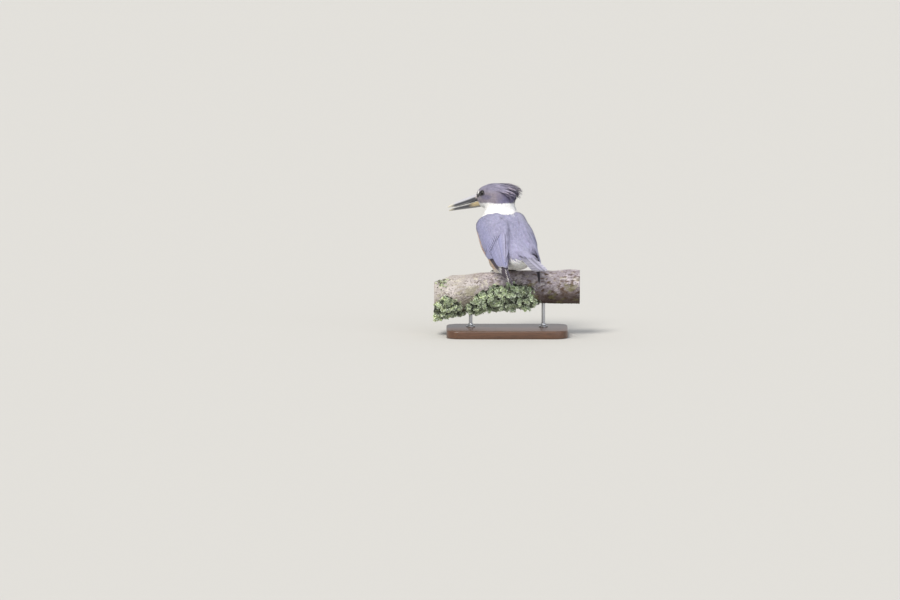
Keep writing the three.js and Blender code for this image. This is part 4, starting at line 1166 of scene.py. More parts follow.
scapular = smooth(0.65, 0.95, across_wing) * smooth(8, 3, off_wing)
covert_length = mix(5.0, 8.8, smooth(0.0, 0.42, along_wing))
rump = smooth(-38, -56, back_roots[:, 0])
back_length = mix(mix(mix(9.2, 15, rump), covert_length, wing_share), 14.5, scapular)
lift = mix(0.62, 0.72, wing_share)
back_sizes = stacked(back_length * 1.08, 0.45 + back_length * 0.075, 0.09, lift).T
print("roots over the two wings:", int((wing_share > 0.5).sum()), "of", len(back_roots))

# %% The down, the mantle and the small coverts
def back_coat(name, slot, chosen, pattern, sizes, seed, depth=0.0, light=1.0):
    """A piece of the coat over the guide, its roots a depth under it and its tints times light, which below
    1 is painted shade.
    """
    normals = back_normals[chosen]
    root, tints = back_roots[chosen] - normals * depth, back_tints[chosen] * light
    flow = back_flow[chosen]
    lay_feathers(name, slot, guide_tree, root, normals, flow, tints, pattern, sizes, seed)


DOWN_SPACING = 1.9
is_down = thinned(back_roots, np.full(len(back_roots), DOWN_SPACING))
down_sizes = np.tile([9.0, 2.6, 0.12, 0.0], (len(is_down), 1)).T
# The down's tints at 0.72 are painted shade under the mantle and the coverts.
back_coat("coat_down", "body_plumage", is_down, HEAD_BLADE, down_sizes, 19, depth=0.8, light=0.72)
is_covert = (wing_share > 0.5) & (across_wing < 0.82)
back_parts = [
    ("coat_mantle", "body_plumage", ~is_covert),
    ("small_coverts_left", "flight_feathers", is_covert & (back_roots[:, 1] > 0)),
    ("small_coverts_right", "flight_feathers", is_covert & (back_roots[:, 1] <= 0)),
]
for seed, (name, slot, chosen) in enumerate(back_parts, 16):
    back_coat(name, slot, chosen, BODY_BLADE, back_sizes[:, chosen], seed)

# %% The skin's colour, darkened as painted shade, and its place
# The skin takes the plumage's colours at 0.82 of their value, painted shade where it shows between feathers.
paint(skin.data, np.clip(marking(skin_points) * 0.82, 0, WHITEST))
move_points(skin, bird_to_stand(skin_points))
skin.data.materials.clear()
shade_round(skin)
hand_over(skin, plumage, "body_plumage", "torso", "neck", "head")
print("skin:", len(skin_points), "points")

# %% [markdown]
# ## A flight feather
# A wing or tail feather is a long stiff blade: a raised shaft, a narrow outer web and a wide
# inner one, cambered, with a rounded tip. It is lofted through rings, one a station, each ring
# going once round the blade's thin section, so the feather is a closed solid. A few small notches
# are where barbs have parted.

# %% Flight feathers
VANE_THICK, VANE_BOW = 0.24, 0.06
ACROSS = np.array([-1, -0.82, -0.55, -0.25, -0.06, 0.06, 0.25, 0.55, 0.82, 1])
ROUND_TIP = 0.86 + 0.14 * np.sin(np.linspace(0.2, 1, 7) * math.pi / 2)
BLADE_STATIONS = np.concatenate([np.linspace(0, 0.86, 20), ROUND_TIP])


def vane_width(t, blunt):
    """Half width as a share of its widest, from root (0) to tip (1)."""
    rounded = np.sqrt(np.clip(1 - ((t - 0.84) / 0.175).clip(0) ** 2, 0, 1))
    return mix(0.45, 1, smooth(0, 0.35, t)) * mix(rounded, 1 - 0.75 * smooth(0.5, 1.02, t), blunt)


def flight_vane(at, across, up, outer, inner, width, random):
    """Rings of one feather and their places across it, from -1 inside to 1 outside."""
    web = np.where(ACROSS < 0, inner, outer)
    share = width[:, None] * np.ones(len(ACROSS))[None]
    for notch in random.integers(8, len(width) - 4, 2):
        share[notch, : 3 if random.random() < 0.7 else 1] *= random.uniform(0.8, 0.95)
    offset = ACROSS * web * share
    bow = -VANE_BOW * np.abs(ACROSS) ** 2 * web * share
    shaft = 0.28 * np.exp(-((ACROSS / 0.1) ** 2))
    shell = VANE_THICK * (0.35 + 0.65 * np.exp(-((ACROSS / 0.3) ** 2)))
    fade = mix(1, 0.45, np.linspace(0, 1, len(at)))[:, None]
    flat = at[:, None] + across[:, None] * offset[..., None]
    top = flat + up[:, None] * (bow + shaft * fade)[..., None]
    low = flat + up[:, None] * (bow - shell * fade)[..., None]
    return np.concatenate([top, low[:, ::-1]], 1), np.concatenate([offset, offset[:, ::-1]], 1)

# %% Flight feathers to one piece
def running_length(line):
    return np.concatenate([[0], np.cumsum(np.linalg.norm(np.diff(line, axis=0), axis=1))])


def join_feathers(name, slot, feathers, *nodes):
    """One piece from feathers given as (rings, web places, colours), each with its own bake cell."""
    parts, tints, webs, bakes = [], [], [], []
    cells = math.ceil(math.sqrt(len(feathers)))
    for n, (rings, places, colours) in enumerate(feathers):
        parts.append(lofted(rings))
        run = running_length(rings.mean(1))
        web = stacked(places, run[:, None]).reshape(-1, 2) / 10
        web = np.concatenate([web, [[0, 0], [0, run[-1] / 10]]])
        cell = (web - web.min(0)) / np.ptp(web, axis=0).clip(1e-6) * 0.92 + 0.04
        bakes.append((cell + (n % cells, n // cells)) / cells)
        tints.append(np.concatenate([colours.reshape(-1, 3), colours[0, :1], colours[-1, :1]]))
        webs.append(web)
    points, faces = merged(parts)
    maps = {"OFBake": np.concatenate(bakes), "web": np.concatenate(webs)}
    piece = mesh_piece(name, bird_to_stand(points), faces, np.concatenate(tints), maps)
    around, size = rings.shape[1], len(parts[0][0])

    def is_rim(first, second):
        corners = (0, around // 2 - 1, around // 2, around - 1)
        return np.isin(first % around, corners) & (first % around == second % around)

    crisp_rims(piece, size, is_rim)
    hand_over(piece, flight, slot, *nodes)
    print(name, ":", len(feathers), "feathers,", len(faces), "triangles")


flight = plumage_material("flight_feather_keratin", 0.6, 0.55, 0.10, 0.08)

# %% [markdown]
# ## The wing's feathers
# Each tier runs from the back outwards. A feather's root and tip are places on the sheet, its
# height grows towards the back so that each overlaps the next one out. Outer webs are blue-grey,
# inner ones dark. Secondaries end in white, and the dark primaries carry rows of white spots. A
# painted plate would give the same colours, but not the steps and the slits between feathers.

# %% Wing tiers
PRIMARY_DARK = linear("#463d47")
WEB_DARK = linear("#4c4a5c")


def ring_places(rings):
    """For each point of a feather's rings: its station, 0 to 1, and its side, -1 to 1."""
    across = np.concatenate([ACROSS, ACROSS[::-1]])
    return stacked(np.linspace(0, 1, len(rings))[:, None], across).reshape(-1, 2).T


def web_colours(rings, base, inner_dark, tip_white, spots, random):
    """Colours of one wing feather over its rings; tip_white over 1 is a full white tip."""
    station, side = ring_places(rings)
    colour = blend(base * random.normal(1, 0.05), WEB_DARK, inner_dark * smooth(0.1, -0.35, side))
    colour = blend(colour, WEB_DARK, 0.9 * smooth(0.2, 0.04, np.abs(side)))
    colour = blend(colour, WEB_DARK, 0.5 * smooth(0.84, 1.0, side))
    if spots:
        rows = smooth(0.66, 0.9, np.cos((station * spots + 0.2) * 2 * math.pi))
        outer_half = smooth(0.45, 0.62, station) * smooth(0.93, 0.86, station)
        colour = blend(colour, WHITE, rows * smooth(0.42, 0.68, side) * outer_half)
    tip = smooth(0.94, 0.97, station + 0.02 * np.abs(side))
    return blend(colour, WHITE, min(tip_white, 1) * tip).reshape(*rings.shape)

# %% One tier
def pointing(vectors, way):
    """Vectors turned about where they point away from a way."""
    return vectors * np.where(dots(vectors, way) < 0, -1, 1)


def wing_tier(
    random, count, base, root, tip, height, outer, inner, sunk, tilt,
    inner_dark=0.6, tip_white=(0, 0), spots=0, blunt=0.0,
):
    """Feathers of one tier, from the back outwards.

    Places on the sheet, heights, colours and white tips go evenly from the first to the last
    feather, except a root or tip that is a function of k, 0 at the back and 1 outside."""
    tier = []
    for k in np.arange(count) / (count - 1):
        (root_a, root_b), (tip_a, tip_b) = (
            place(k) if callable(place) else mix(np.array(place[0]), np.array(place[1]), k)
            for place in (root, tip)
        )
        t = BLADE_STATIONS
        a = mix(root_a, tip_a + random.uniform(-0.012, 0.012), t)
        b = mix(root_b, tip_b + random.uniform(-0.006, 0.006), t)
        at, up = wing_sheet(a, b), wing_up(a, b)
        along = unit(np.gradient(at, axis=0))
        across = pointing(unit(np.cross(up, along)), wing_sheet(a, b - 0.1) - at)
        across = unit(across + up * tilt)
        lifted = pointing(unit(np.cross(along, across)), up)
        at = at + up * mix(sunk, mix(*height, k), smooth(0, 0.3, t))[:, None]
        width = vane_width(t, blunt)
        rings, places = flight_vane(at, across, lifted, outer, inner, width, random)
        white = mix(*tip_white, k)
        tier.append((rings, places, web_colours(rings, mix(*base, k), inner_dark, white, spots, random)))
    return tier

# %% The tiers of both wings
def primary_tip(k):
    """The longest primary is a little outside the middle of the fan."""
    return 1.02 - 0.26 * (k - 0.55) ** 2, mix(0.72, 0.1, k**0.9)


def wing_feathers(seed):
    random = np.random.default_rng(seed)
    dark, blue = (PRIMARY_DARK, PRIMARY_DARK), (LILAC_BACK * 0.95, BLUE_WING)
    primaries = wing_tier(
        random, 9, dark, [(0.41, 0.56), (0.41, 0.1)], primary_tip, height=(3.2, 0.7), outer=3.3,
        inner=5.6, sunk=0.9, tilt=0.12, inner_dark=0.5, tip_white=(0.35, 0.15), spots=5, blunt=0.75,
    )
    secondaries = wing_tier(
        random, 10, blue, [(0.38, 0.88), (0.38, 0.38)], [(0.95, 0.85), (0.8, 0.32)],
        height=(5.6, 3.6), outer=3.1, inner=4.4, sunk=2.0, tilt=0.1, tip_white=(0.0, 1.2),
    )
    tertials = wing_tier(
        random, 4, (LILAC_BACK, BLUE_WING), [(0.36, 0.92), (0.36, 0.78)],
        [(0.86, 0.93), (0.92, 0.8)], height=(6.9, 5.9), outer=4.2, inner=3.4, sunk=1.6, tilt=0.1,
        inner_dark=0.2, tip_white=(0.1, 0.3),
    )
    primary_coverts = wing_tier(
        random, 6, (BLUE_WING, BLUE_WING), [(0.36, 0.34), (0.36, 0.08)],
        [(0.67, 0.27), (0.6, 0.07)], height=(3.9, 2.7), outer=2.9, inner=4.0, sunk=1.4, tilt=0.12,
        inner_dark=0.4,
    )
    greater = wing_tier(
        random, 11, blue, [(0.3, 0.86), (0.3, 0.3)], [(0.56, 0.84), (0.61, 0.3)],
        height=(6.7, 4.7), outer=3.3, inner=4.2, sunk=1.8, tilt=0.12, inner_dark=0.25,
        tip_white=(0.0, 0.2),
    )
    return {
        "primaries": primaries,
        "secondaries": secondaries + tertials,
        "large_coverts": primary_coverts + greater,
    }


wing_tiers = wing_feathers(21)
SIDES = (("left", 1), ("right", -1))
for side_name, side in SIDES:
    for tier_name, tier in wing_tiers.items():
        mirrored = [(rings * (1, side, 1), places, colours) for rings, places, colours in tier]
        join_feathers(f"{tier_name}_{side_name}", "flight_feathers", mirrored)

# %% [markdown]
# ## The wing's flesh
# Under the coverts the forearm is a flat oval plate, thickest near the wing's lower edge. It is the
# same loft over the sheet that the guide was made from, set a little deeper, so it fits under them.

# %% The wing plates
for side_name, side in SIDES:
    plate = wing_form(f"wing_flesh_{side_name}", side, PLATE_FROM, PLATE_TO, drop=0.9)
    places = points_of(plate)
    move_points(plate, bird_to_stand(places))
    # The plate's blue is darkened to 0.8, painted shade under the coverts.
    paint(plate.data, np.tile(BLUE_WING * 0.8, (len(places), 1)))
    hand_over(plate, plumage, "flight_feathers", f"wing_{side_name}")
    print(plate.name, ":", len(plate.data.polygons), "triangles")

# %% [markdown]
# ## The tail
# Twelve tail feathers lie closed in a narrow stack, the middle pair on top. They are pale
# blue-grey above with a dark shaft streak, and the outer ones dark with white bars. They are flight
# feathers laid in the tail's own flat frame, which one turn then brings to the bird. Coverts hide
# their roots above and below, and the ones below are white.

# %% Tail feathers
TAIL_START, TAIL_LENGTH = 20, 88
TAIL_BLUE = linear("#a2a0b2")
TAIL_DARK = linear("#55535f")


def tail_vane(random, side, length, root_y, tip_y, outer, inner, height, tilt, colours):
    t = BLADE_STATIONS
    at = tail_to_bird(stacked(mix(TAIL_START, length, t), side * mix(root_y, tip_y, t), height))
    middle = tail_to_bird([[0, 0, 0], [0, side, tilt], [0, -side * tilt, 1.0]])
    across, up = unit(middle[1:] - middle[0])
    at = at - up * (1.6 * t**2)[:, None] * 0.5
    across, up = (np.tile(way, (len(t), 1)) for way in (across, up))
    rings, places = flight_vane(at, across, up, outer, inner, vane_width(t, 0.25), random)
    return rings, places, colours(rings, random)


def tail_colours(dark_share, bars):
    """Colours of a tail feather: dark_share is how dark it is inside its pale edge."""

    def colour(rings, random):
        station, side = ring_places(rings)
        off = np.abs(side)
        base = TAIL_BLUE * random.normal(1, 0.03)
        base = blend(base, TAIL_DARK, dark_share * smooth(0.85, 0.45, off))
        base = blend(base, TAIL_DARK, 0.8 * smooth(0.2, 0.04, off))
        marks = smooth(0.5, 0.9, np.cos(station * 60)) * smooth(0.75, 0.9, station)
        base = blend(base, TAIL_DARK, 0.35 * (marks * smooth(0.2, 0.5, off)))
        if bars:
            rows = smooth(0.35, 0.75, np.cos((station * bars + 0.1) * 2 * math.pi))
            pale = 0.28 * rows * smooth(0.12, 0.35, off) * smooth(0.3, 0.5, station)
            base = blend(base, WHITE, pale)
        return blend(base, WHITE, 0.85 * smooth(0.955, 0.985, station)).reshape(*rings.shape)

    return colour


def tail_feathers(seed):
    random = np.random.default_rng(seed)
    feathers = []
    middle = dict(root_y=0.3, tip_y=0.9, outer=5.4, inner=5.4, tilt=0.03, colours=tail_colours(0.28, 0))
    for side, height in ((1, 1.9), (-1, 1.45)):
        length = TAIL_LENGTH - 0.6 * side
        feathers.append(tail_vane(random, side, length, height=height, **middle))
    for side in (-1, 1):
        for j in range(1, 6):
            length, tip_y = TAIL_LENGTH - 0.35 * j * j, 2.4 + 1.9 * j
            feathers.append(tail_vane(
                random, side, length, root_y=1.6 + 1.15 * j, tip_y=tip_y, outer=4.0,
                inner=min(6.2, tip_y - 0.3), height=0.6 - 0.6 * j, tilt=0.17,
                colours=tail_colours(0.25 + 0.13 * j, 9),
            ))
    return feathers


join_feathers("tail_vanes", "tail_feathers", tail_feathers(31), "tail")

# %% [markdown]
# Tail coverts are soft contour feathers, so they use the body's blade and not the flight feather.
# Each row is a line of roots across the tail, moved a little at random, and each row's feathers
# reach over the roots of the next ones.

# %% Tail coverts
RIGHT_SPREAD = 4.0
# Rows as (distance back, half width, height) in the tail's frame, over and under its root.
OVER_ROWS = [
    (1, 9.5, 2.6), (4, 9.5, 2.9), (7, 9, 3.1), (10, 9, 3.2),
    (13, 8.5, 3.2), (16, 8, 3.1), (19, 7.5, 3.0), (22, 7, 2.9),
]
UNDER_ROWS = [
    (4, 9, -15.5), (9, 9, -14.8), (14, 8.5, -13.6), (19, 8.5, -12.2),
    (24, 8, -10.8), (29, 7.5, -9.3), (34, 7, -7.6),
]


def tail_coverts(name, seed, rows, length, colour, above):
    """Contour blades in rows over or under the tail's root, in the tail's frame."""
    random = np.random.default_rng(seed)
    drawn = []
    for start, half, z in rows:
        count = int(2 * half)
        y = np.linspace(-half, half + RIGHT_SPREAD, count) + random.normal(0, 0.4, count)
        back = start + random.uniform(-3, 3, count) - 0.05 * y**2
        drawn.append(stacked(back, y, z - (0.045 if above else -0.06) * y**2))
    back, side, height = np.concatenate(drawn).T
    count, sign = len(back), 1 if above else -1
    reach = length * random.uniform(0.8, 1.15, count)
    drop = (0.035 if above else 0.16) * reach
    root = stacked(back, side, height - sign * 0.6)
    middle = stacked(back + reach * 0.5, side * 1.05, height + sign * (0.5 - drop * 0.45))
    end_side = side * 1.05 + random.normal(0, 0.4, count)
    end = stacked(back + reach, end_side, height + sign * (0.3 - drop))
    curve = [tail_to_bird(v) for v in (root, middle, end)]
    normals = tail_to_bird(np.tile((0, 0, sign), (count, 1))) - tail_to_bird(np.zeros((count, 3)))
    # The ones that reach past the tail on the right belong to the side of the rump.
    tints = blend(colour, LILAC_RUMP * 0.9, smooth(7.0, 9.0, side))
    tints = np.clip(tints * random.normal(1, 0.04, (count, 1)), 0, WHITEST)
    wide, thick = random.uniform(1.0, 1.6, count), np.full(count, 0.14)
    blades_piece(name, "tail_feathers", BODY_BLADE, curve[0], curve, normals, wide, thick, tints)


tail_coverts("tail_coverts_over", 32, OVER_ROWS, 20.0, LILAC_RUMP, True)
tail_coverts("tail_coverts_under", 33, UNDER_ROWS, 19.0, WHITE, False)

# %% [markdown]
# ## The crest
# The crown's longest feathers are a shaggy double crest, narrow and loose-barbed, that stands off
# the nape. Hair strands would be too thin and too even for it. So it has a longer blade with more
# split barbs, swept back from rows across the crown. The middle rows are the longest and stand free
# of the skin, and the first and the last lie close to it.

# %% Crest feathers
CREST_RIM = [
    (0.35, 0.0), (0.75, 0.2), (1.0, 0.42), (0.95, 0.58), (0.8, 0.59), (0.84, 0.74),
    (0.62, 0.72), (0.6, 0.86), (0.36, 0.82), (0.32, 0.96), (0.14, 0.91),
]
CREST_BLADE = blade_pattern(CREST_RIM, 1.04, [0.0, 0.22, 0.45])
# Root x and z in the head's frame, length, rise in degrees, pairs beside the middle, their spread.
CREST_ROWS = [
    (17, 14.2, 8, -8, 2.4, 0.30),
    (12, 15.6, 13, -6, 2.8, 0.29),
    (4, 17.4, 23, -4, 3.0, 0.29),
    (-6, 17.4, 32, -3, 3.2, 0.28),
    (-15, 14.8, 29, -9, 3.5, 0.28),
    (-22, 10, 23, -19, 3.5, 0.30),
    (-27, 4, 17, -26, 3.5, 0.32),
    (-30, -2, 13, -38, 3.2, 0.34),
]
CREST_STEPS = 34
CREST_AXIS_Z = -5
CREST_STEP = 0.34
CREST_CLEAR = 0.7
# Half width of the head at places along it, in its own frame.
HEAD_HALF_AT, HEAD_HALF = [-33, -27, -16, -4, 8, 19], [11, 17.5, 20.4, 20.4, 19, 16.8]
print("longest crest feather:", max(row[2] for row in CREST_ROWS), "mm")

# %% Rows over the crown
def crest_feathers(seed):
    random = np.random.default_rng(seed)
    rows = []
    for s in np.linspace(0, 1, CREST_STEPS):
        x, z, length, rise, pairs, spread = along_rows(CREST_ROWS, np.array([s]))[0]
        for place in np.arange(-pairs, pairs + 0.01, CREST_STEP) + random.uniform(-0.15, 0.15):
            half = np.interp(x, HEAD_HALF_AT, HEAD_HALF)
            reach = length * (1 - 0.07 * abs(place)) * random.uniform(0.62, 1.04)
            rows.append((x - 1.2 * abs(place), z, half, place, place * spread, rise, reach))
    x, z, half, place, angle, rise, reach = np.array(rows).T
    count = len(x)
    up = stacked(0.0, np.sin(angle), np.cos(angle))
    root = stacked(x, (half - 1.2) * up[:, 1], CREST_AXIS_Z + (z - CREST_AXIS_Z) * up[:, 2])
    lean = np.radians(rise - 4 * np.abs(place) + random.normal(0, 2.6, count))
    splay = 0.11 * place + random.normal(0, 0.05, count)
    along = unit(stacked(-np.cos(lean), splay, np.sin(lean)))
    root, along, up = head_to_bird(root), turned(along, HEAD_TURN), turned(up, HEAD_TURN)
    root, skin_up = over_surface(skin_tree, root, -0.3)
    flat = unit(laid_flat(along, skin_up))
    free = smooth(11, 24, reach)
    along = unit(flat + (along - flat) * free[:, None])
    arch = (0.5 + 0.05 * reach + random.normal(0, 0.2, count))[:, None]
    lift = (0.5 + 0.035 * reach + random.normal(0, 0.4, count))[:, None]
    middle = root + along * reach[:, None] * 0.5 + skin_up * arch
    end = root + along * reach[:, None] + skin_up * lift
    # A short feather lies on the skin, and only a long one stands free.
    middle, end = (
        mix(over_surface(skin_tree, at, CREST_CLEAR)[0], at, free[:, None]) for at in (middle, end)
    )
    halves = 0.42 + random.uniform(0.3, 0.85, count) * smooth(7, 26, reach)
    normals = unit(skin_up + up)
    tints = blend(marking(root), SLATE_NAPE, free * random.uniform(0.0, 0.45, count))
    tints = tints * random.normal(1, 0.12, (count, 1))
    fray = smooth(0.62, 1.0, CREST_BLADE[0][:, 1]) * (free * random.uniform(0.2, 0.95, count))[:, None]
    curve, thick = (root, middle, end), np.full(count, 0.2)
    blades_piece(
        "crest", "body_plumage", CREST_BLADE, root, curve, normals, halves, thick, tints, fray
    )


crest_feathers(41)

# %% [markdown]
# ## The bill
# A kingfisher's bill is two long horny daggers, deep at the base, with a rounded ridge on top, a
# sharp cutting edge and a hollow inside. Each half is a loft through cross-sections measured along
# it. The horn is slate grey, with painted highlights along the ridge and the cutting edges and
# painted shade in the groove and the nostril, and worn pale at the tip; the lower half is ochre at
# its base. The nostril is a slit pressed into each side of the upper half.

# %% Bill halves
BILL_BASE_X = 30
# x, ridge z, edge z and half width of the upper half, in the head's frame.
UPPER_BILL_ROWS = [
    (25, 2.4, -9.6, 8.8),
    (33, 0.2, -11.5, 7.2),
    (42, -3.2, -14.5, 6.0),
    (50, -6.5, -17.2, 5.1),
    (59, -10.2, -19.6, 4.2),
    (70, -14.5, -22.7, 3.2),
    (81, -19.4, -24.2, 2.0),
    (87.7, -23.5, -25.4, 0.9),
]
# x, edge z, keel z and half width of the lower half.
LOWER_BILL_ROWS = [
    (25, -10.6, -20.8, 8.6),
    (33, -13.0, -22.4, 6.9),
    (42, -15.9, -24.0, 5.5),
    (50, -18.3, -25.2, 4.5),
    (60, -21.0, -26.8, 3.5),
    (70, -23.7, -28.4, 2.6),
    (80, -26.6, -30.2, 1.7),
    (85.6, -29.5, -31.2, 0.9),
]
BILL_STATIONS, BILL_ARC = 96, 30
NOSTRIL_AT, NOSTRIL_HALF = (37.6, -7.2), (2.3, 0.75)
# How far the hollow inside reaches, as shares of the half width.
BILL_HOLLOW = np.array([-0.7, -0.35, 0, 0.35, 0.7])
# Ridge and pale are painted highlights along the ridge and the cutting edges; dark is painted shade in the
# groove and the nostril.
HORN = palette(
    slate="#37383d", ridge="#bcbcc2", pale="#8f8f90", tip="#cfcab8",
    base="#c2b5b3", ochre="#b3a27c", inside="#7a5b4c", dark="#2c2c33",
)
print("bill:", round(UPPER_BILL_ROWS[-1][0] - BILL_BASE_X, 1), "mm past its base")

# %% The shape and colours of a half
def along_x(rows, x):
    """A row read at a place along the bill, and the first or last row beyond its ends."""
    xs = [row[0] for row in rows]
    return along_rows(rows, np.interp(x, xs, np.linspace(0, 1, len(rows))))


def horn_colour_over(base, horn, share):
    """One horn's colour over another, by a share for each station and place round it."""
    return base + (HORN[horn] - base) * share[..., None]


def with_ends(places):
    """Values for a loft's ring points, and for its two end centres."""
    return np.concatenate([places, places[:1], places[-1:]])


def bill_half(name, node, rows, upper):
    s = 1 - (1 - np.linspace(0, 1, BILL_STATIONS)) ** 1.15
    x, top, bottom, half = (v[:, None] for v in along_rows(rows, s).T)
    ridge, edge = (top, bottom) if upper else (bottom, top)
    arc = np.linspace(0, math.pi, BILL_ARC)[None]
    up, out = np.sin(arc), np.cos(arc)
    z = edge + (ridge - edge) * (up**0.85 + 0.03 * np.exp(-(((arc - math.pi / 2) / 0.16) ** 2)))
    groove = np.exp(-(((up - 0.42) / 0.09) ** 2)) * smooth(84, 60, x)
    y = half * out * (1 - 0.07 * np.exp(-((up / 0.16) ** 2))) - np.sign(out) * 0.16 * groove
    # A pale band along the ridge is a painted highlight, full on the upper half and weak along the lower
    # half's keel; the pale cutting edge is a painted highlight too.
    tint = horn_colour_over(HORN["slate"], "ridge", (0.9 if upper else 0.25) * smooth(0.42, 0.72, up))
    tint = horn_colour_over(tint, "pale", 0.7 * smooth(0.2, 0.06, up) * smooth(40, 52, x))
    # The groove is painted dark, as shade in it.
    tint = horn_colour_over(tint, "dark", 0.5 * groove)
    if upper:
        slit_x = (x - NOSTRIL_AT[0]) / NOSTRIL_HALF[0]
        slit_z = (z - (NOSTRIL_AT[1] - 0.38 * (x - NOSTRIL_AT[0]))) / NOSTRIL_HALF[1]
        slit = smooth(1.15, 0.45, np.hypot(slit_x, slit_z))
        y = y - np.sign(out) * slit
        tint = horn_colour_over(tint, "base", 0.8 * smooth(38, 31, x) * smooth(0.25, 0.45, up))
        # The nostril slit is painted dark, as shade inside it.
        tint = horn_colour_over(tint, "dark", slit)
    else:
        tint = horn_colour_over(tint, "ochre", 0.9 * smooth(50, 36, x) * smooth(0.95, 0.55, up))
    tint = horn_colour_over(tint, "tip", 0.85 * smooth(72, 85, x))
    inner_z = edge + (ridge - edge) * (0.26 * (1 - BILL_HOLLOW**2) + 0.03)
    inner_tint = horn_colour_over(HORN["slate"], "inside", 0.8 * smooth(60, 40, x))
    inner_tint = np.broadcast_to(inner_tint, (*inner_z.shape, 3))
    tints = np.concatenate([tint, inner_tint], 1).reshape(-1, 3)
    rings = np.concatenate([stacked(x, y, z), stacked(x, half * 0.9 * BILL_HOLLOW, inner_z)], 1)
    points, faces = lofted(rings)
    girth = np.linspace(0, 1, rings.shape[1])
    web = stacked(girth * 2.2, (x - BILL_BASE_X) / 10).reshape(-1, 2)
    bake = stacked(0.02 + 0.96 * girth, 0.02 + 0.96 * s[:, None]).reshape(-1, 2)
    maps = {"OFBake": with_ends(bake), "web": with_ends(web)}
    piece = mesh_piece(name, bird_to_stand(head_to_bird(points)), faces, with_ends(tints), maps)
    hand_over(piece, horn, "bill_horn", node)
    print(name, ":", len(faces), "triangles")

# %% Horn
def horn_material(name, roughness, streak_dark):
    """Horn: a satin surface with fine streaks along its growth, from the piece's own map."""
    finish = {"Roughness": roughness, "IOR": 1.54, "Coat Weight": 0.35, "Coat Roughness": 0.25}
    made, shader = new_material(name, finish)
    web = add_node(made, "UVMap", {"uv_map": "web"})
    # This map is in centimetres: 30 streaks to one across, and 2.2 to one along.
    streaks = grain_over(made, (30, 2.2, 1), {"Detail": 4, "Roughness": 0.6}, web)
    tint = add_node(made, "VertexColor", {"layer_name": "tint"})
    colour = shaded(made, tint, streaks, (0.3, 0.7), (1 - streak_dark, 1 + streak_dark))
    dress(made, shader, colour, streaks, 0.25, 0.1 * MM)
    return made


horn = horn_material("bill_horn_satin", 0.42, 0.2)
bill_half("bill_upper_horn", "bill_upper", UPPER_BILL_ROWS, True)
bill_half("bill_lower_horn", "bill_lower", LOWER_BILL_ROWS, False)

# %% [markdown]
# Skin stretches between the two halves at the mouth's corner. It is a thin wedge, ochre as the
# base of the lower half, folded inwards in the middle, and a short tongue lies on the lower half.

# %% The mouth's corner and the tongue
MOUTH_FROM, MOUTH_TO = 22, 37.5


def mouth_corner():
    x = np.linspace(MOUTH_FROM, MOUTH_TO, 14)[:, None]
    upper_row, lower_row = along_x(UPPER_BILL_ROWS, x[:, 0]), along_x(LOWER_BILL_ROWS, x[:, 0])
    upper_edge, lower_edge, half = upper_row[:, 2:3], lower_row[:, 1:2], lower_row[:, 3:4] * 0.93
    top = mix(lower_edge - 0.6, upper_edge + 0.9, smooth(MOUTH_TO, 26, x))
    low = lower_edge - 1.3
    angle = np.linspace(0, 2 * math.pi, 16, endpoint=False)[None]
    out = np.abs(np.cos(angle))
    y = half * np.sign(np.cos(angle)) * out**0.6
    y = y * (1 - 0.18 * out * smooth(0, 0.5, 1 - np.abs(np.sin(angle))))
    z = (top + low) / 2 + (top - low) / 2 * np.sin(angle)
    points, faces = lofted(stacked(x, y, z))
    colour = blend(HORN["ochre"], HORN["inside"], 0.55 * smooth(5.2, 3.0, np.abs(points[:, 1])))
    web = points[:, :2] / 10
    maps = {"web": web, "OFBake": web / 8 + 0.1}
    return mesh_piece("mouth_corner", bird_to_stand(head_to_bird(points)), faces, colour, maps)


def tongue():
    made, ball = unit_ball("tongue", 20, 14)
    x = 40 + 7.5 * ball[:, 0]
    low = along_x(LOWER_BILL_ROWS, x)[:, 1]
    width = 2.1 * smooth(1.15, -0.2, ball[:, 0])
    points = stacked(x, width * ball[:, 1], low - 0.1 + 0.8 * ball[:, 2] - 0.3 * ball[:, 1] ** 2)
    move_points(made, bird_to_stand(head_to_bird(points)))
    shade_round(made)
    return made


hand_over(mouth_corner(), horn_material("mouth_skin", 0.5, 0.1), "bill_horn")
# Moist skin is fairly smooth, so the tongue has a soft gleam.
moist, moist_shader = new_material("moist_tongue_skin", {"Roughness": 0.3})
speckle = grain_over(moist, 900, {"Detail": 2})
pinks = add_node(moist, "MixRGB", {1: rgba("#8a5a50"), 2: rgba("#b07f70")}, {0: speckle})
dress(moist, moist_shader, pinks)
hand_over(tongue(), moist, "bill_horn")
print("mouth's corner and tongue made")

# %% [markdown]
# ## Eyes and lids
# A bird's eye is a ball, mostly hidden, with a clear bulging front. It is very dark: a black pupil
# in a dark brown iris. A UV sphere with its pole to the front keeps pupil and iris round. The lids
# are a soft thick-edged ring, so they start as a torus, which is drawn out a little to a corner in
# front and behind and has a fold above the upper lid.

# %% Eyes
EYE_OUT = unit(np.array([0.16, 0.975, 0.15]))


def facing(points, side):
    """Points made round +Z, turned to look out of one eye and set at its place in the head."""
    back = unit(np.cross(EYE_OUT, (0, 0, 1)))
    above = np.cross(back, EYE_OUT)
    set_in = EYE_AT + points[:, :1] * back + points[:, 1:2] * above + points[:, 2:] * EYE_OUT
    return set_in * (1, side, 1)


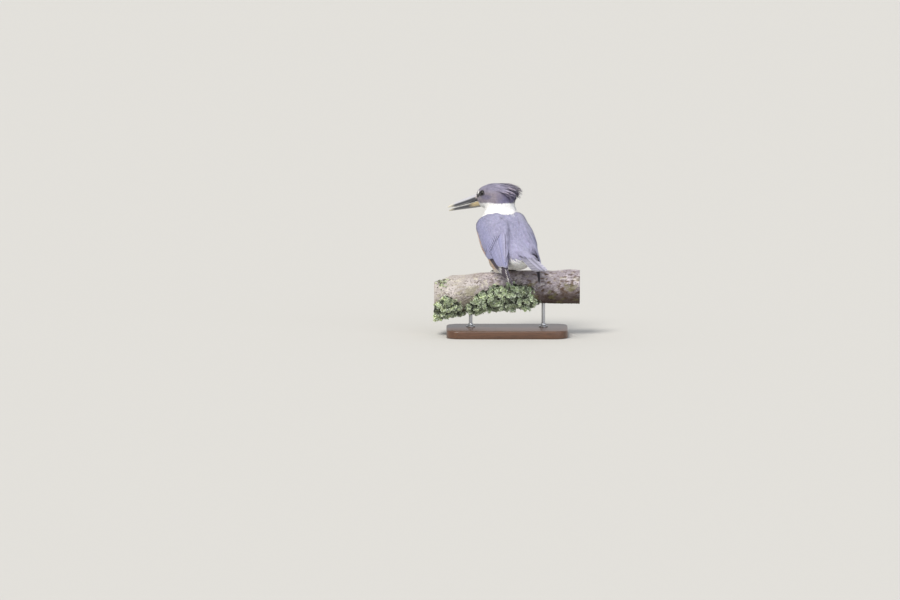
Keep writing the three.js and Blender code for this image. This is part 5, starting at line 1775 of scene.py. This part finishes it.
def eyeball(name, side):
    ball, points = unit_ball(name, 48, 32)
    off = np.arccos(np.clip(points[:, 2], -1, 1))
    radius = EYE_RADIUS * (1 + 0.05 * np.exp(-((off / 0.55) ** 2)))
    move_points(ball, bird_to_stand(head_to_bird(facing(points * radius[:, None], side))))
    # The frame round an eye is a left-handed one, so the left ball is the one turned inside out.
    if side > 0:
        ball.data.flip_normals()
    tint = blend(linear("#030303"), linear("#150c08"), smooth(0.36, 0.42, off))
    paint(ball.data, blend(tint, linear("#0c0909"), smooth(0.75, 0.95, off)))
    shade_round(ball)
    return ball


def eye_material():
    """A wet cornea: very smooth, so the lamps show as small sharp lights on near black."""
    finish = {"Roughness": 0.06, "IOR": 1.38, "Specular IOR Level": 0.35}
    finish |= {"Coat Weight": 0.3, "Coat Roughness": 0.02}
    made, shader = new_material("wet_cornea", finish)
    flecks = grain_over(made, 1800, {"Detail": 3})
    tint = add_node(made, "VertexColor", {"layer_name": "tint"})
    dress(made, shader, shaded(made, tint, flecks, (0, 1), (0.6, 1.4)))
    return made


cornea = eye_material()
for side_name, side in SIDES:
    hand_over(eyeball(f"eyeball_{side_name}", side), cornea, "eye", f"eye_{side_name}")
print("eyes:", 2 * EYE_RADIUS, "mm across")

# %% Lids
LID_RADIUS, LID_THICK = 4.15, 0.85


def lids(name, side):
    bpy.ops.mesh.primitive_torus_add(
        major_segments=64, minor_segments=16, major_radius=LID_RADIUS, minor_radius=LID_THICK
    )
    ring = bpy.context.object
    ring.name = ring.data.name = name
    points = points_of(ring)
    around = np.arctan2(points[:, 1], points[:, 0])
    out = np.hypot(points[:, 0], points[:, 1])
    corner = np.exp(-((np.sin(around) / 0.28) ** 2))
    reach = 1 + 0.13 * corner - 0.06 * np.abs(np.sin(around))
    fold = 0.22 * smooth(4.5, 5.0, out) * smooth(0.1, 0.8, np.sin(around))
    wrinkle = 0.06 * np.sin(around * 34) * smooth(4.0, 4.8, out)
    points[:, :2] *= reach[:, None]
    points[:, 2] += 2.75 + fold + wrinkle - 0.35 * corner
    move_points(ring, bird_to_stand(head_to_bird(facing(points, side))))
    if side > 0:
        ring.data.flip_normals()
    shade_round(ring)
    return ring


# Bare skin, finely beaded and half matt: a dark rim that doesn't gleam like the eye inside it.
lid_skin, lid_shader = new_material("lid_skin", {"Roughness": 0.55})
beads = grain_over(lid_skin, 1400, {"Detail": 3})
blacks = add_node(lid_skin, "MixRGB", {1: rgba("#0c0b0d"), 2: rgba("#1f1e23")}, {0: beads})
dress(lid_skin, lid_shader, blacks, beads, 0.4, 0.1 * MM)
for side_name, side in SIDES:
    hand_over(lids(f"lids_{side_name}", side), lid_skin, "body_plumage")
print("lids:", 2 * (LID_RADIUS + LID_THICK), "mm across")

# %% [markdown]
# ## The branch
# A cut length of a dead branch, thicker than the bird's feet can span. Its bark is grey with a
# pinkish cast, blotched with pale crusts, brown and olive, and cracked along its length. It is a
# loft through rings that follow the branch's bends, with the cracks and warts in its shape. Both
# ends are sawn, so their rings run in over growth rings to the pith.

# %% The branch's measures
PERCH_RADIUS, PERCH_LENGTH, PERCH_Y = 28.5, 240.0, 4.0
# Cushions of lichen: start and end along the branch, angle round it, half width, thickness.
CUSHIONS = [(-70, 56, -2.2, 1.05, 14.0), (-140, -68, -2.0, 1.25, 9.0)]


def perch_to_stand(points):
    return (points + BIRD_AT) * MM


def perch_middle(x):
    return 0.05 * x - np.where(x < 0, 0.00085, 0.00025) * x * x - PERCH_RADIUS - 0.5


def perch_radius(x):
    return PERCH_RADIUS * (1 - 0.0004 * x)


def lichen_cover(x, angle):
    """Thickness of the leafy lichen on the bark, in mm: cushions with tapered, ragged ends."""
    frill = 0.74 + 0.26 * np.sin(0.42 * x + 3.1 * angle) * np.sin(5.3 * angle - 0.21 * x)
    rag = 5 * np.sin(2.6 * angle + 0.4) + 3 * np.sin(7.1 * angle + 0.06 * x)
    total = 0
    for start, end, middle, half, thick in CUSHIONS:
        along = smooth(start, start + 14, x + rag) * (1 - smooth(end - 20, end, x + rag))
        taper = np.sqrt(smooth(start - 8, start + 46, x) * (1 - smooth(end - 60, end + 6, x)))
        reach = half * (0.45 + 0.55 * taper) * (1 + 0.09 * np.sin(0.23 * x) + 0.06 * np.sin(0.61 * x + 1))
        off = angle - middle + 0.45 * (1 - taper) - 0.004 * x
        turn = np.abs(np.arctan2(np.sin(off), np.cos(off)))
        total = total + thick * along * (1 - smooth(0.6 * reach, reach, turn)) * frill
    return total


def bark_place(x, angle, lift=0.0):
    """Points over the branch's smoothed bark, x along it and angle round from its top."""
    knot = 2.2 * np.exp(-(((x + 92) / 10) ** 2)) * np.maximum(0, np.cos(angle - 0.3))
    swell = 0.9 * np.sin(0.07 * x + 2 * angle) + 0.6 * np.sin(0.13 * x - 3 * angle + 1)
    underfoot = np.exp(-((x / 34) ** 2)) * np.maximum(0, np.cos(angle))
    radius = perch_radius(x) + (knot + swell) * (1 - underfoot) + lift
    return stacked(x, PERCH_Y + radius * np.sin(angle), perch_middle(x) + radius * np.cos(angle))
print("branch:", PERCH_LENGTH, "mm long and", 2 * PERCH_RADIUS, "mm thick")

# %% [markdown]
# The bark's relief and colours are layered noise, read at each point of the loft. It is drawn out
# along the branch for the cracks and even all round for the warts. A bump in the shader would cost
# fewer triangles, but then no crack or wart would show at the branch's outline.

# %% The branch's bark
BARK_STATIONS, BARK_ROUND = 236, 168
BARK = palette(
    grey="#8f878c", pale="#b3abb0", crust="#cfcab6", brown="#57463a",
    olive="#6f6c48", crack="#3a302b", wood="#c2a684", ring="#9a7d5c",
)
SAWN_RINGS = (0.985, 0.965, 0.94, 0.9, 0.84, 0.78, 0.7, 0.62, 0.54, 0.45, 0.36, 0.27, 0.18, 0.1, 0.04)


def noise_field(points, size, seed, octaves=3):
    """Layered noise at points, in mm, from about -1 to 1."""
    shift = Vector((seed * 13.7, seed * 7.9, seed * 3.1))
    scale = np.asarray(size, float) * np.ones(3)
    return np.array([noise.fractal(Vector(p / scale) + shift, 0.9, 2.0, octaves) for p in points])


def bark_surface():
    stations = np.linspace(-PERCH_LENGTH / 2, PERCH_LENGTH / 2, BARK_STATIONS)
    round_angles = np.linspace(0, 2 * math.pi, BARK_ROUND, endpoint=False)
    x, angle = np.meshgrid(stations, round_angles, indexing="ij")
    flat = bark_place(x, angle).reshape(-1, 3)
    along, up = flat[:, 0], np.cos(angle).ravel()
    smooth_feet = (np.exp(-((x / 30) ** 2)) * np.maximum(0, np.cos(angle)) ** 0.5).ravel()
    broad = noise_field(flat, (22, 14, 14), 1)
    cracks = np.abs(noise_field(flat, (16, 3.2, 3.2), 2, 2))
    cracks = smooth(0.14, 0.0, cracks) * smooth(-0.25, 0.25, broad)
    fine = noise_field(flat, (2.4, 1.8, 1.8), 3)
    warts = smooth(0.42, 0.75, noise_field(flat, (3.0, 3.0, 3.0), 4, 1))
    lift = (0.55 * broad + 0.30 * fine + 0.9 * warts - 1.1 * cracks) * (1 - 0.75 * smooth_feet)
    lift = lift.reshape(x.shape) + 0.35 * lichen_cover(x, angle)
    # Blotches of colour: crusts have a fairly sharp rim, stains a soft one.
    crust = smooth(0.30, 0.42, noise_field(flat, (9, 6, 6), 5)) * smooth(-0.4, 0.6, up)
    # The right half's sides take more stain than the top, painted light that leaves the lit top pale.
    shaded_side = smooth(0, 60, along) * smooth(0.95, 0.5, up)
    stain = smooth(0.1, 0.6, noise_field(flat, (7, 4, 4), 6) + 0.16 * shaded_side - 0.06)
    # The underside darkens to a deep brown: painted shade.
    underside_shade = smooth(0.35, -0.6, up + 0.3 * noise_field(flat, (8, 6, 6), 8))
    moss = smooth(0.1, 0.45, noise_field(flat, (13, 9, 9), 7)) * smooth(0.75, 0.1, up)
    crusted = np.maximum(mix(0.6, 0.3, smooth(-60, 20, along)) * crust, 0.3 * smooth(-10, -80, along))
    colour = blend(BARK["grey"], BARK["pale"], smooth(-0.1, 0.5, broad + fine * 0.5))
    colour = blend(colour, BARK["brown"], mix(0.72, 0.95, smooth(0, 60, along)) * stain)
    colour = blend(colour, BARK["brown"] * 0.7, 0.85 * underside_shade)
    colour = blend(colour, BARK["olive"], 0.6 * moss)
    colour = blend(colour, BARK["crust"], crusted)
    colour = blend(colour, BARK["crack"], 0.8 * cracks)
    return bark_place(x, angle, lift), colour.reshape(*x.shape, 3)

# %% The sawn ends
def sawn_end(ring, out):
    """Rings from the rim of a sawn end to its pith, a little rough, with their colours."""
    middle = ring.mean(0)
    rings, colours = [], []
    random = np.random.default_rng(51)
    around = np.linspace(0, 2 * math.pi, len(ring), endpoint=False)
    splits = smooth(0.985, 1.0, np.cos(around * 3 + 0.7)) + smooth(0.99, 1.0, np.cos(around * 7 + 2))
    for share in SAWN_RINGS:
        wobble = 1 + 0.012 * np.sin(around * 3 + share * 9)
        points = middle + (ring - middle) * (share * wobble)[:, None]
        points[:, 0] = middle[0] + out * (0.25 * random.normal(0, 0.3, len(ring)) - 0.5 * splits * share)
        rings.append(points)
        if share > 0.95:
            base = BARK["crack"]
        else:
            base = mix(BARK["wood"], BARK["ring"], random.uniform(0, 0.7) if share < 0.93 else 0.2)
        # Along the splits the end grain is painted darker, as shade in the gaps.
        colours.append(base * (1 - 0.5 * splits * smooth(0.1, 0.5, share))[:, None])
    return rings, colours


def branch():
    surface, colour = bark_surface()
    left_rings, left_colours = sawn_end(surface[0], -1)
    right_rings, right_colours = sawn_end(surface[-1], 1)
    rings = np.array([*left_rings[::-1], *surface, *right_rings])
    colours = np.array([*left_colours[::-1], *colour, *right_colours])
    points, faces = lofted(rings)
    tints = np.concatenate([colours.reshape(-1, 3), [BARK["brown"], BARK["brown"]]])
    count, around = rings.shape[:2]
    bake = stacked(np.linspace(0, 1, around), np.linspace(0, 1, count)[:, None]).reshape(-1, 2)
    bake = np.concatenate([bake, [[0.5, 0], [0.5, 1]]]) * 0.98 + 0.01
    return mesh_piece("bark", perch_to_stand(points), faces, tints, {"OFBake": bake})

# %% The finish of bark and lichen
def rough_material(name, roughness, grain_mm, depth_mm, shade_range):
    """A dull natural surface: its colour from its attribute, with grain in colour and relief."""
    made, shader = new_material(name, {"Roughness": roughness, "Specular IOR Level": 0.25})
    grain = grain_over(made, 1 / (grain_mm * MM), {"Detail": 5, "Roughness": 0.65})
    tint = add_node(made, "VertexColor", {"layer_name": "tint"})
    colour = shaded(made, tint, grain, (0.3, 0.7), (1 - shade_range, 1 + shade_range))
    dress(made, shader, colour, grain, 0.6, depth_mm * MM)
    return made


perch = branch()
hand_over(perch, rough_material("weathered_bark", 0.92, 1.6, 0.5, 0.34), "bark", "perch")
print("bark:", len(perch.data.polygons), "triangles")

# %% [markdown]
# ## The lichen
# Leafy lichen grows in cushions of small ruffled lobes, pale green above, that stand off the bark
# and overlap. A lobe is a thin fan with a scalloped, wavy rim, closed underneath. A few lobes are
# modelled once and copied over the bark, turned, tilted and sized at random, more where the
# cushions are thick.

# %% Lobes of lichen
LOBE_RIM = 9
LOBE_PATTERNS = 6
# Pale is a painted highlight for the lobes' rims, and dark is painted shade at their roots and undersides.
LICHEN = palette(pale="#f0f8e8", green="#9fbb7c", grey="#bfcda8", dark="#252d0f", yellow="#dfe392")


def lobe_pattern(random):
    """A fan-shaped closed lobe about 1 long: points, triangles and how light each point is, as painted light
    from the lit rim to the shaded root and underside.
    """
    spread = np.linspace(-1.35, 1.35, LOBE_RIM)
    even = np.arange(LOBE_RIM) % 2 == 0
    scallop = np.where(even, 1.0, 0.9) * random.uniform(0.88, 1.06, LOBE_RIM)
    ruffle = 0.26 * np.where(even, 1, -1) * random.uniform(0.5, 1.2, LOBE_RIM)
    rim = stacked(
        np.sin(spread) * 0.75 * scallop, 0.25 + np.cos(spread) * 0.75 * scallop, ruffle + 0.12
    )
    mid = stacked(np.sin(spread) * 0.4, 0.22 + np.cos(spread) * 0.38, ruffle * 0.3 + 0.02)
    points = np.concatenate([rim, mid, [[0, 0, 0.0], [0, 0.3, -0.10]]])
    mid_at, root, under = LOBE_RIM, 2 * LOBE_RIM, 2 * LOBE_RIM + 1
    faces = []
    for i in range(LOBE_RIM - 1):
        faces += [(i, i + 1, mid_at + i + 1), (i, mid_at + i + 1, mid_at + i)]
        faces += [(mid_at + i, mid_at + i + 1, root), (i + 1, i, under)]
    last = LOBE_RIM - 1
    faces += [(0, mid_at, root), (last, root, mid_at + last), (0, root, under), (last, under, root)]
    light = np.repeat([1.0, 0.55, 0.2, 0.1], [LOBE_RIM, LOBE_RIM, 1, 1])
    return points, outward(points, np.array(faces)), light


print("lobe patterns:", LOBE_PATTERNS, "with", LOBE_RIM, "points on the rim")

# %% Lobes over the bark
def lichen_places(random, start, end, count):
    """Random places on the bark and the cover there, more of them where the cushions are thick."""
    x = random.uniform(start, end, count * 6)
    angle = random.uniform(-math.pi, math.pi, count * 6)
    cover = lichen_cover(x, angle)
    # A loose crown of lobes stands on the knot near the left end.
    crown = 0.9 * np.exp(-(((x + 108) / 7) ** 2 + ((angle + 0.45) / 0.3) ** 2))
    chance = np.clip(cover / 5, 0, 1) + 0.6 * crown
    chosen = np.flatnonzero(random.random(len(x)) < chance * 0.6)[:count]
    return x[chosen], angle[chosen], cover[chosen]


def lobe_directions(random, angle, cover):
    """A lobe's own x, y and z: across it, along its growth and out of its face."""
    normal, side = np.array([0, math.sin(angle), math.cos(angle)]), np.array([1.0, 0, 0])
    turn = random.uniform(0, 2 * math.pi)
    along = side * math.cos(turn) + np.cross(normal, side) * math.sin(turn)
    lift = math.radians(random.uniform(15, 75) * min(1, 0.3 + cover / 6))
    growth = unit(along * math.cos(lift) + normal * math.sin(lift) + (0, 0, 0.12))
    across = unit(np.cross(growth, normal + along * 0.01))
    return np.array([across, growth, np.cross(across, growth)])


def lichen(name, start, end, count, seed):
    random = np.random.default_rng(seed)
    patterns = [lobe_pattern(random) for _ in range(LOBE_PATTERNS)]
    parts, tints = [], []
    for n, (x, angle, cover) in enumerate(zip(*lichen_places(random, start, end, count))):
        shape, triangles, light = patterns[n % LOBE_PATTERNS]
        depth = random.uniform(0.15, 0.85)
        clump = smooth(-0.3, 0.32, noise.noise(Vector((x / 6, angle * 4.8, seed))))
        at = bark_place(x, angle, cover * depth * (0.4 + 0.6 * clump))
        across, growth, face = lobe_directions(random, angle, cover)
        size = random.uniform(2.2, 5.4) * (0.55 + 0.45 * min(1, cover / 5))
        made = at + size * (shape[:, :1] * across + shape[:, 1:2] * growth + shape[:, 2:] * face)
        base = mix(LICHEN["green"], LICHEN["grey"], random.random())
        base = mix(base, LICHEN["yellow"], mix(0.75, 0.3, smooth(-80, -55, x)) * random.random())
        # The lobe's root and underside are painted dark as shade, and its rim pale as a painted highlight.
        colour = mix(LICHEN["dark"], base, smooth(0.0, 0.55, light)[:, None])
        rim_highlight = smooth(0.6, 1.0, light) * random.uniform(0.4, 1.0)
        colour = mix(colour, LICHEN["pale"], rim_highlight[:, None])
        parts.append((made, triangles))
        # Lobes sunk in the hollows between clumps are painted darker, as shade.
        tints.append(colour * random.uniform(0.8, 1.12) * (0.16 + 1.04 * clump))
    points, faces = merged(parts)
    along = (points[:, 0] - start) / (end - start + 20) * 0.9 + 0.05
    around = np.arctan2(points[:, 1], points[:, 2] + PERCH_RADIUS + 0.5) / 6.6 + 0.5
    maps = {"OFBake": stacked(along, around)}
    made = mesh_piece(name, perch_to_stand(points), faces, np.concatenate(tints), maps, False)
    hand_over(made, leafy, "bark")
    print(name, ":", len(parts), "lobes,", len(faces), "triangles")


leafy = rough_material("leafy_lichen", 0.9, 0.8, 0.2, 0.16)
lichen("lichen_middle", -70, 56, 4600, 61)
lichen("lichen_left", -119, -66, 2600, 62)

# %% [markdown]
# ## Feet
# Kingfishers have short legs and small weak feet with three toes forwards, joined for much of
# their length, and one back. Each toe is a tube that bends over the bark, ringed by small plates
# and padded underneath, with a curved claw. A bevelled curve would make the tubes too, but a loft
# gives them knuckles and plates. The shank is short, and the belly's feathers hide it.

# %% Feet and claws
FOOT_FORWARD, FOOT_LEFT = 6.0, 13.0
TOE_RADIUS = 1.7
TOE_REST = TOE_RADIUS + 0.45
SHANK = 13
# Each toe's bearing, in degrees to the outside of straight ahead, and its length.
TOES = [("inner", -24, 13.0), ("middle", -6, 17.0), ("outer", 12, 15.5), ("hind", 174, 10.0)]
FOOT_SKIN, HOOK_HORN = linear("#574845"), linear("#1c1a1c")
PLATE_STEP = 1.25


def over_bark(forward, left, lift):
    c, s = math.cos(BODY_HEADING), math.sin(BODY_HEADING)
    x = forward * c - left * s
    y = forward * s + left * c - PERCH_Y
    radius = perch_radius(x) + lift
    angle = y / radius
    return stacked(x, PERCH_Y + radius * np.sin(angle), perch_middle(x) + radius * np.cos(angle))


def tube(line, radii, sides, plates=0.0):
    """Rings round a line; plates is the height of the steps between scales on top."""
    along = unit(np.gradient(line, axis=0))
    hint = np.where(np.abs(along[:, 2:]) > 0.9, [[1.0, 0, 0]], [[0, 0, 1.0]])
    side = unit(np.cross(along, hint))
    up = np.cross(side, along)
    angle = np.linspace(0, 2 * math.pi, sides, endpoint=False)
    step = 1 - np.abs(((running_length(line) / PLATE_STEP) % 1) - 0.4)[:, None]
    bulge = plates * step * smooth(-0.2, 0.6, np.sin(angle))[None]
    reach = np.asarray(radii)[:, None] * (1 + bulge)
    round_line = side[:, None] * np.cos(angle)[:, None] + up[:, None] * np.sin(angle)[:, None]
    return line[:, None] + reach[..., None] * round_line


def tubes_piece(name, tubes, colour, material, slot, node):
    points, faces = merged([lofted(rings) for rings in tubes])
    webs = []
    for rings in tubes:
        count, around = rings.shape[:2]
        along = np.arange(count)[:, None] * 0.05
        web = stacked(np.linspace(0, 1, around), along).reshape(-1, 2)
        webs.append(np.concatenate([web, [[0, 0], [0, along[-1, 0]]]]))
    web, tints = np.concatenate(webs), np.tile(colour, (len(points), 1))
    piece = mesh_piece(name, perch_to_stand(points), faces, tints, {"web": web, "OFBake": web / 4})
    hand_over(piece, material, slot, node)
    print(name, ":", len(faces), "triangles")


def toe_line(side, turn, reach, lift=0.0):
    """Points over the bark, at distances out from one foot's middle along a toe's bearing."""
    bearing = math.radians(turn * side)
    forward, left = FOOT_FORWARD + reach * math.cos(bearing), side * FOOT_LEFT + reach * math.sin(bearing)
    return over_bark(forward, left, TOE_REST + lift)

# %% Toes, claws and shanks
scaled_skin = horn_material("scaled_foot_skin", 0.6, 0.2)
claw_horn = horn_material("claw_horn_dark", 0.3, 0.25)
for side_name, side in SIDES:
    toes = []
    for toe_name, turn, length in TOES:
        share = np.linspace(0, 1.03, 44)
        knuckle = 1 + 0.09 * np.cos(share * 2 * math.pi * 3)
        radii = TOE_RADIUS * mix(1.15, 0.78, share) * knuckle
        toes.append(tube(toe_line(side, turn, share * length), radii, 18, 0.09))
        share, t = np.linspace(0.96, 1.42, 18), np.linspace(0, 1, 18)
        arch = np.sin(0.75 * math.pi * t) - 1.5 * t * t
        hook = tube(toe_line(side, turn, share * length, arch), mix(1.2, 0.12, t**1.3), 14)
        place = f"{side_name}_{toe_name}"
        tubes_piece(f"hook_{place}", [hook], HOOK_HORN, claw_horn, "claw_horn", f"claw_{place}")
    low = over_bark(np.array([FOOT_FORWARD]), np.array([side * FOOT_LEFT]), TOE_REST - 1.0)[0]
    rise = np.linspace(0, 1, 26)[:, None]
    shank = tube(low + rise * (0, 0, SHANK), 2.1 + 0.9 * (1 - rise[:, 0]) ** 3, 20, 0.07)
    for name, tubes, node in (("toes", toes, "foot"), ("shank", [shank], "leg")):
        piece_name, node_name = f"{name}_{side_name}", f"{node}_{side_name}"
        tubes_piece(piece_name, tubes, FOOT_SKIN, scaled_skin, "foot_skin", node_name)

# %% [markdown]
# Each thigh ends in a short feathered tuft that hides the shank and stops just over the toes. Its
# feathers are laid as on the body, over a cone that follows the bark, and only where the cone
# stands out of the belly.

# %% The thigh tufts
THIGH_TOP, THIGH_REST = 16.0, 1.0
THIGH_SUNK, THIGH_FEATHER = -2.5, 6.4
# Shares of the way down the cone, and its radius there.
THIGH_RADII = [(0, 10.5), (0.35, 10.2), (0.65, 9.2), (0.85, 8.0), (1, 6.4)]


def bark_height(points):
    """Height of the bark's top under points, all in the bird's frame."""
    x, y, _ = turned(points, BODY_HEADING).T
    radius = perch_radius(x)
    return perch_middle(x) + np.sqrt(np.clip(radius**2 - (y - PERCH_Y) ** 2, 0, None))


def thigh_cone(side):
    """Points, triangles and normals of the cone round one shank, from the belly to the bark."""
    down, angle = np.linspace(0, 1, 14)[:, None], np.linspace(0, 2 * math.pi, 40, endpoint=False)
    radius = np.interp(down, *zip(*THIGH_RADII))
    middle = (FOOT_FORWARD - 1, side * FOOT_LEFT, 0)
    cone = stacked(middle[0] + radius * np.cos(angle), middle[1] + radius * np.sin(angle), 0.0)
    bark = bark_height(cone.reshape(-1, 3)).reshape(cone.shape[:2])
    cone[..., 2] = mix(THIGH_TOP, bark + THIGH_REST, down)
    points, faces = lofted(cone)
    return points, faces, unit((points - middle) * (1, 1, 0) + (0, 0, 0.01))

# %% A tuft over each shank
def thigh_tuft(name, side, seed):
    points, faces, normals = thigh_cone(side)
    near_skin = [skin_tree.find_nearest(p)[:2] for p in points]
    clear = np.array([(Vector(p) - place) @ normal for p, (place, normal) in zip(points, near_skin)])
    root, out = spread_roots(points, faces, normals, clear[faces].mean(1) > THIGH_SUNK, seed)
    length = np.minimum(THIGH_FEATHER, (root[:, 2] - bark_height(root) - 0.6) / 1.2)
    grown = length > 2.2
    root, out, length = root[grown], out[grown], length[grown]
    flow = unit(np.array((0.1, 0, -1.0)) - out * 0.25)
    rusty = 0.5 * smooth(0.2, 1.0, side * out[:, 1]) * smooth(4, 13, root[:, 2])
    tints = blend(mix(CREAM, WHITE, 0.55), RUSTY, rusty)
    sizes = stacked(length, 0.35 + 0.13 * length, 0.1, 0.8).T
    cone_tree = surface_tree(points, faces)
    lay_feathers(name, "body_plumage", cone_tree, root, out, flow, tints, BODY_BLADE, sizes, seed)


thigh_tuft("thigh_tuft_left", 1, 71)
thigh_tuft("thigh_tuft_right", -1, 72)

# %% [markdown]
# ## The stand
# The bird's branch would need a tree, so a plain museum stand holds it: a dark stained hardwood
# slab with rounded corners and edges, and two brushed steel rods, each in a turned collar. The
# slab is a cube with bevelled edges, and the rods and collars are turned from their outlines.

# %% The slab
BASE_SIZE = (0.200, 0.124, 0.013)
BASE_CORNER, BASE_EDGE = 0.022, 0.0022
bpy.ops.mesh.primitive_cube_add(size=1, location=(0, 0, BASE_SIZE[2] / 2))
slab = bpy.context.object
slab.name = slab.data.name = "slab"
slab.scale = BASE_SIZE
bpy.ops.object.transform_apply(location=True, rotation=False, scale=True)
bpy.ops.object.mode_set(mode="EDIT")
bpy.ops.mesh.select_mode(type="EDGE")
bpy.ops.mesh.select_all(action="DESELECT")
bpy.ops.object.mode_set(mode="OBJECT")
for edge in slab.data.edges:
    first, second = (slab.data.vertices[i].co for i in edge.vertices)
    edge.select = abs(first.z - second.z) > 0.001
bpy.ops.object.mode_set(mode="EDIT")
bpy.ops.mesh.bevel(offset=BASE_CORNER, segments=14)
bpy.ops.object.mode_set(mode="OBJECT")
sharp = dict(limit_method="ANGLE", angle_limit=math.radians(40))
apply_modifier(slab, "BEVEL", width=BASE_EDGE, segments=5, **sharp)
bpy.ops.object.shade_smooth_by_angle(angle=math.radians(35))


def wood_material():
    """Stained hardwood under satin varnish: long grain with pores along X."""
    finish = {"Roughness": 0.42, "IOR": 1.5, "Coat Weight": 0.4, "Coat Roughness": 0.22}
    made, shader = new_material("stained_hardwood_varnished", finish)
    bands = grain_over(made, (12, 160, 160), {"Detail": 6, "Roughness": 0.6, "Distortion": 0.6})
    pores = grain_over(made, (90, 2200, 2200), {"Detail": 2})
    browns = add_node(made, "MixRGB", {1: rgba("#3a2519"), 2: rgba("#6f4a30")}, {0: bands})
    dress(made, shader, shaded(made, browns, pores, (0.35, 0.5), (0.55, 1)), pores, 0.2, 0.1 * MM)
    return made


hand_over(slab, wood_material(), "stand_wood", "stand_base")
print("slab:", len(slab.data.polygons), "faces")

# %% Rods and collars
ROD_RADIUS, ROD_X, ROD_Y = 0.003, (-0.060, 0.060), 0.012
ROD_BOTTOM, ROD_IN_BRANCH = 0.0073, 0.009
# The collar's outline, as its reach beyond the rod and its height over the slab.
COLLAR = [
    (0.0001, 0.0001), (0.0042, 0.0001), (0.0045, 0.0004), (0.0045, 0.0016), (0.0040, 0.0022),
    (0.0018, 0.0026), (0.0014, 0.0030), (0.0014, 0.0052), (0.0010, 0.0058), (0.0001, 0.0058),
]


def turned_profile(name, profile, x, y, *nodes):
    """A closed solid turned round an upright axis from (radius, height) pairs, in metres."""
    around = np.linspace(0, 2 * math.pi, 48, endpoint=False)
    rings = [[(x + r * math.cos(a), y + r * math.sin(a), h) for a in around] for r, h in profile]
    piece = mesh_piece(name, *lofted(np.array(rings)))
    choose(piece)
    bpy.ops.object.shade_smooth_by_angle(angle=math.radians(35))
    hand_over(piece, steel, "stand_steel", *nodes)


def steel_material():
    """Brushed steel: very fine rings round each upright rod."""
    made, shader = new_material("brushed_steel", {"Roughness": 0.32, "Metallic": 1.0})
    lines = grain_over(made, (60, 60, 9000), {"Detail": 2})
    greys = add_node(made, "MixRGB", {1: rgba("#9fa1a4"), 2: rgba("#c9cacc")}, {0: lines})
    dress(made, shader, greys, lines, 0.1, 0.03 * MM)
    return made


steel = steel_material()
for n, x in enumerate(ROD_X, 1):
    under_branch = BIRD_AT[2] + float(perch_middle(x / MM)) - float(perch_radius(x / MM))
    top = under_branch * MM + ROD_IN_BRANCH
    rod = [
        (ROD_RADIUS - 0.0004, ROD_BOTTOM), (ROD_RADIUS, ROD_BOTTOM + 0.0004),
        (ROD_RADIUS, top - 0.0006), (ROD_RADIUS - 0.0006, top),
    ]
    turned_profile(f"rod_{n}", rod, x, ROD_Y, f"stand_rod_{n}")
    collar = [(ROD_RADIUS + reach, BASE_SIZE[2] + height) for reach, height in COLLAR]
    turned_profile(f"collar_{n}", collar, x, ROD_Y)
print("rods:", round(top - ROD_BOTTOM, 4), "m long")
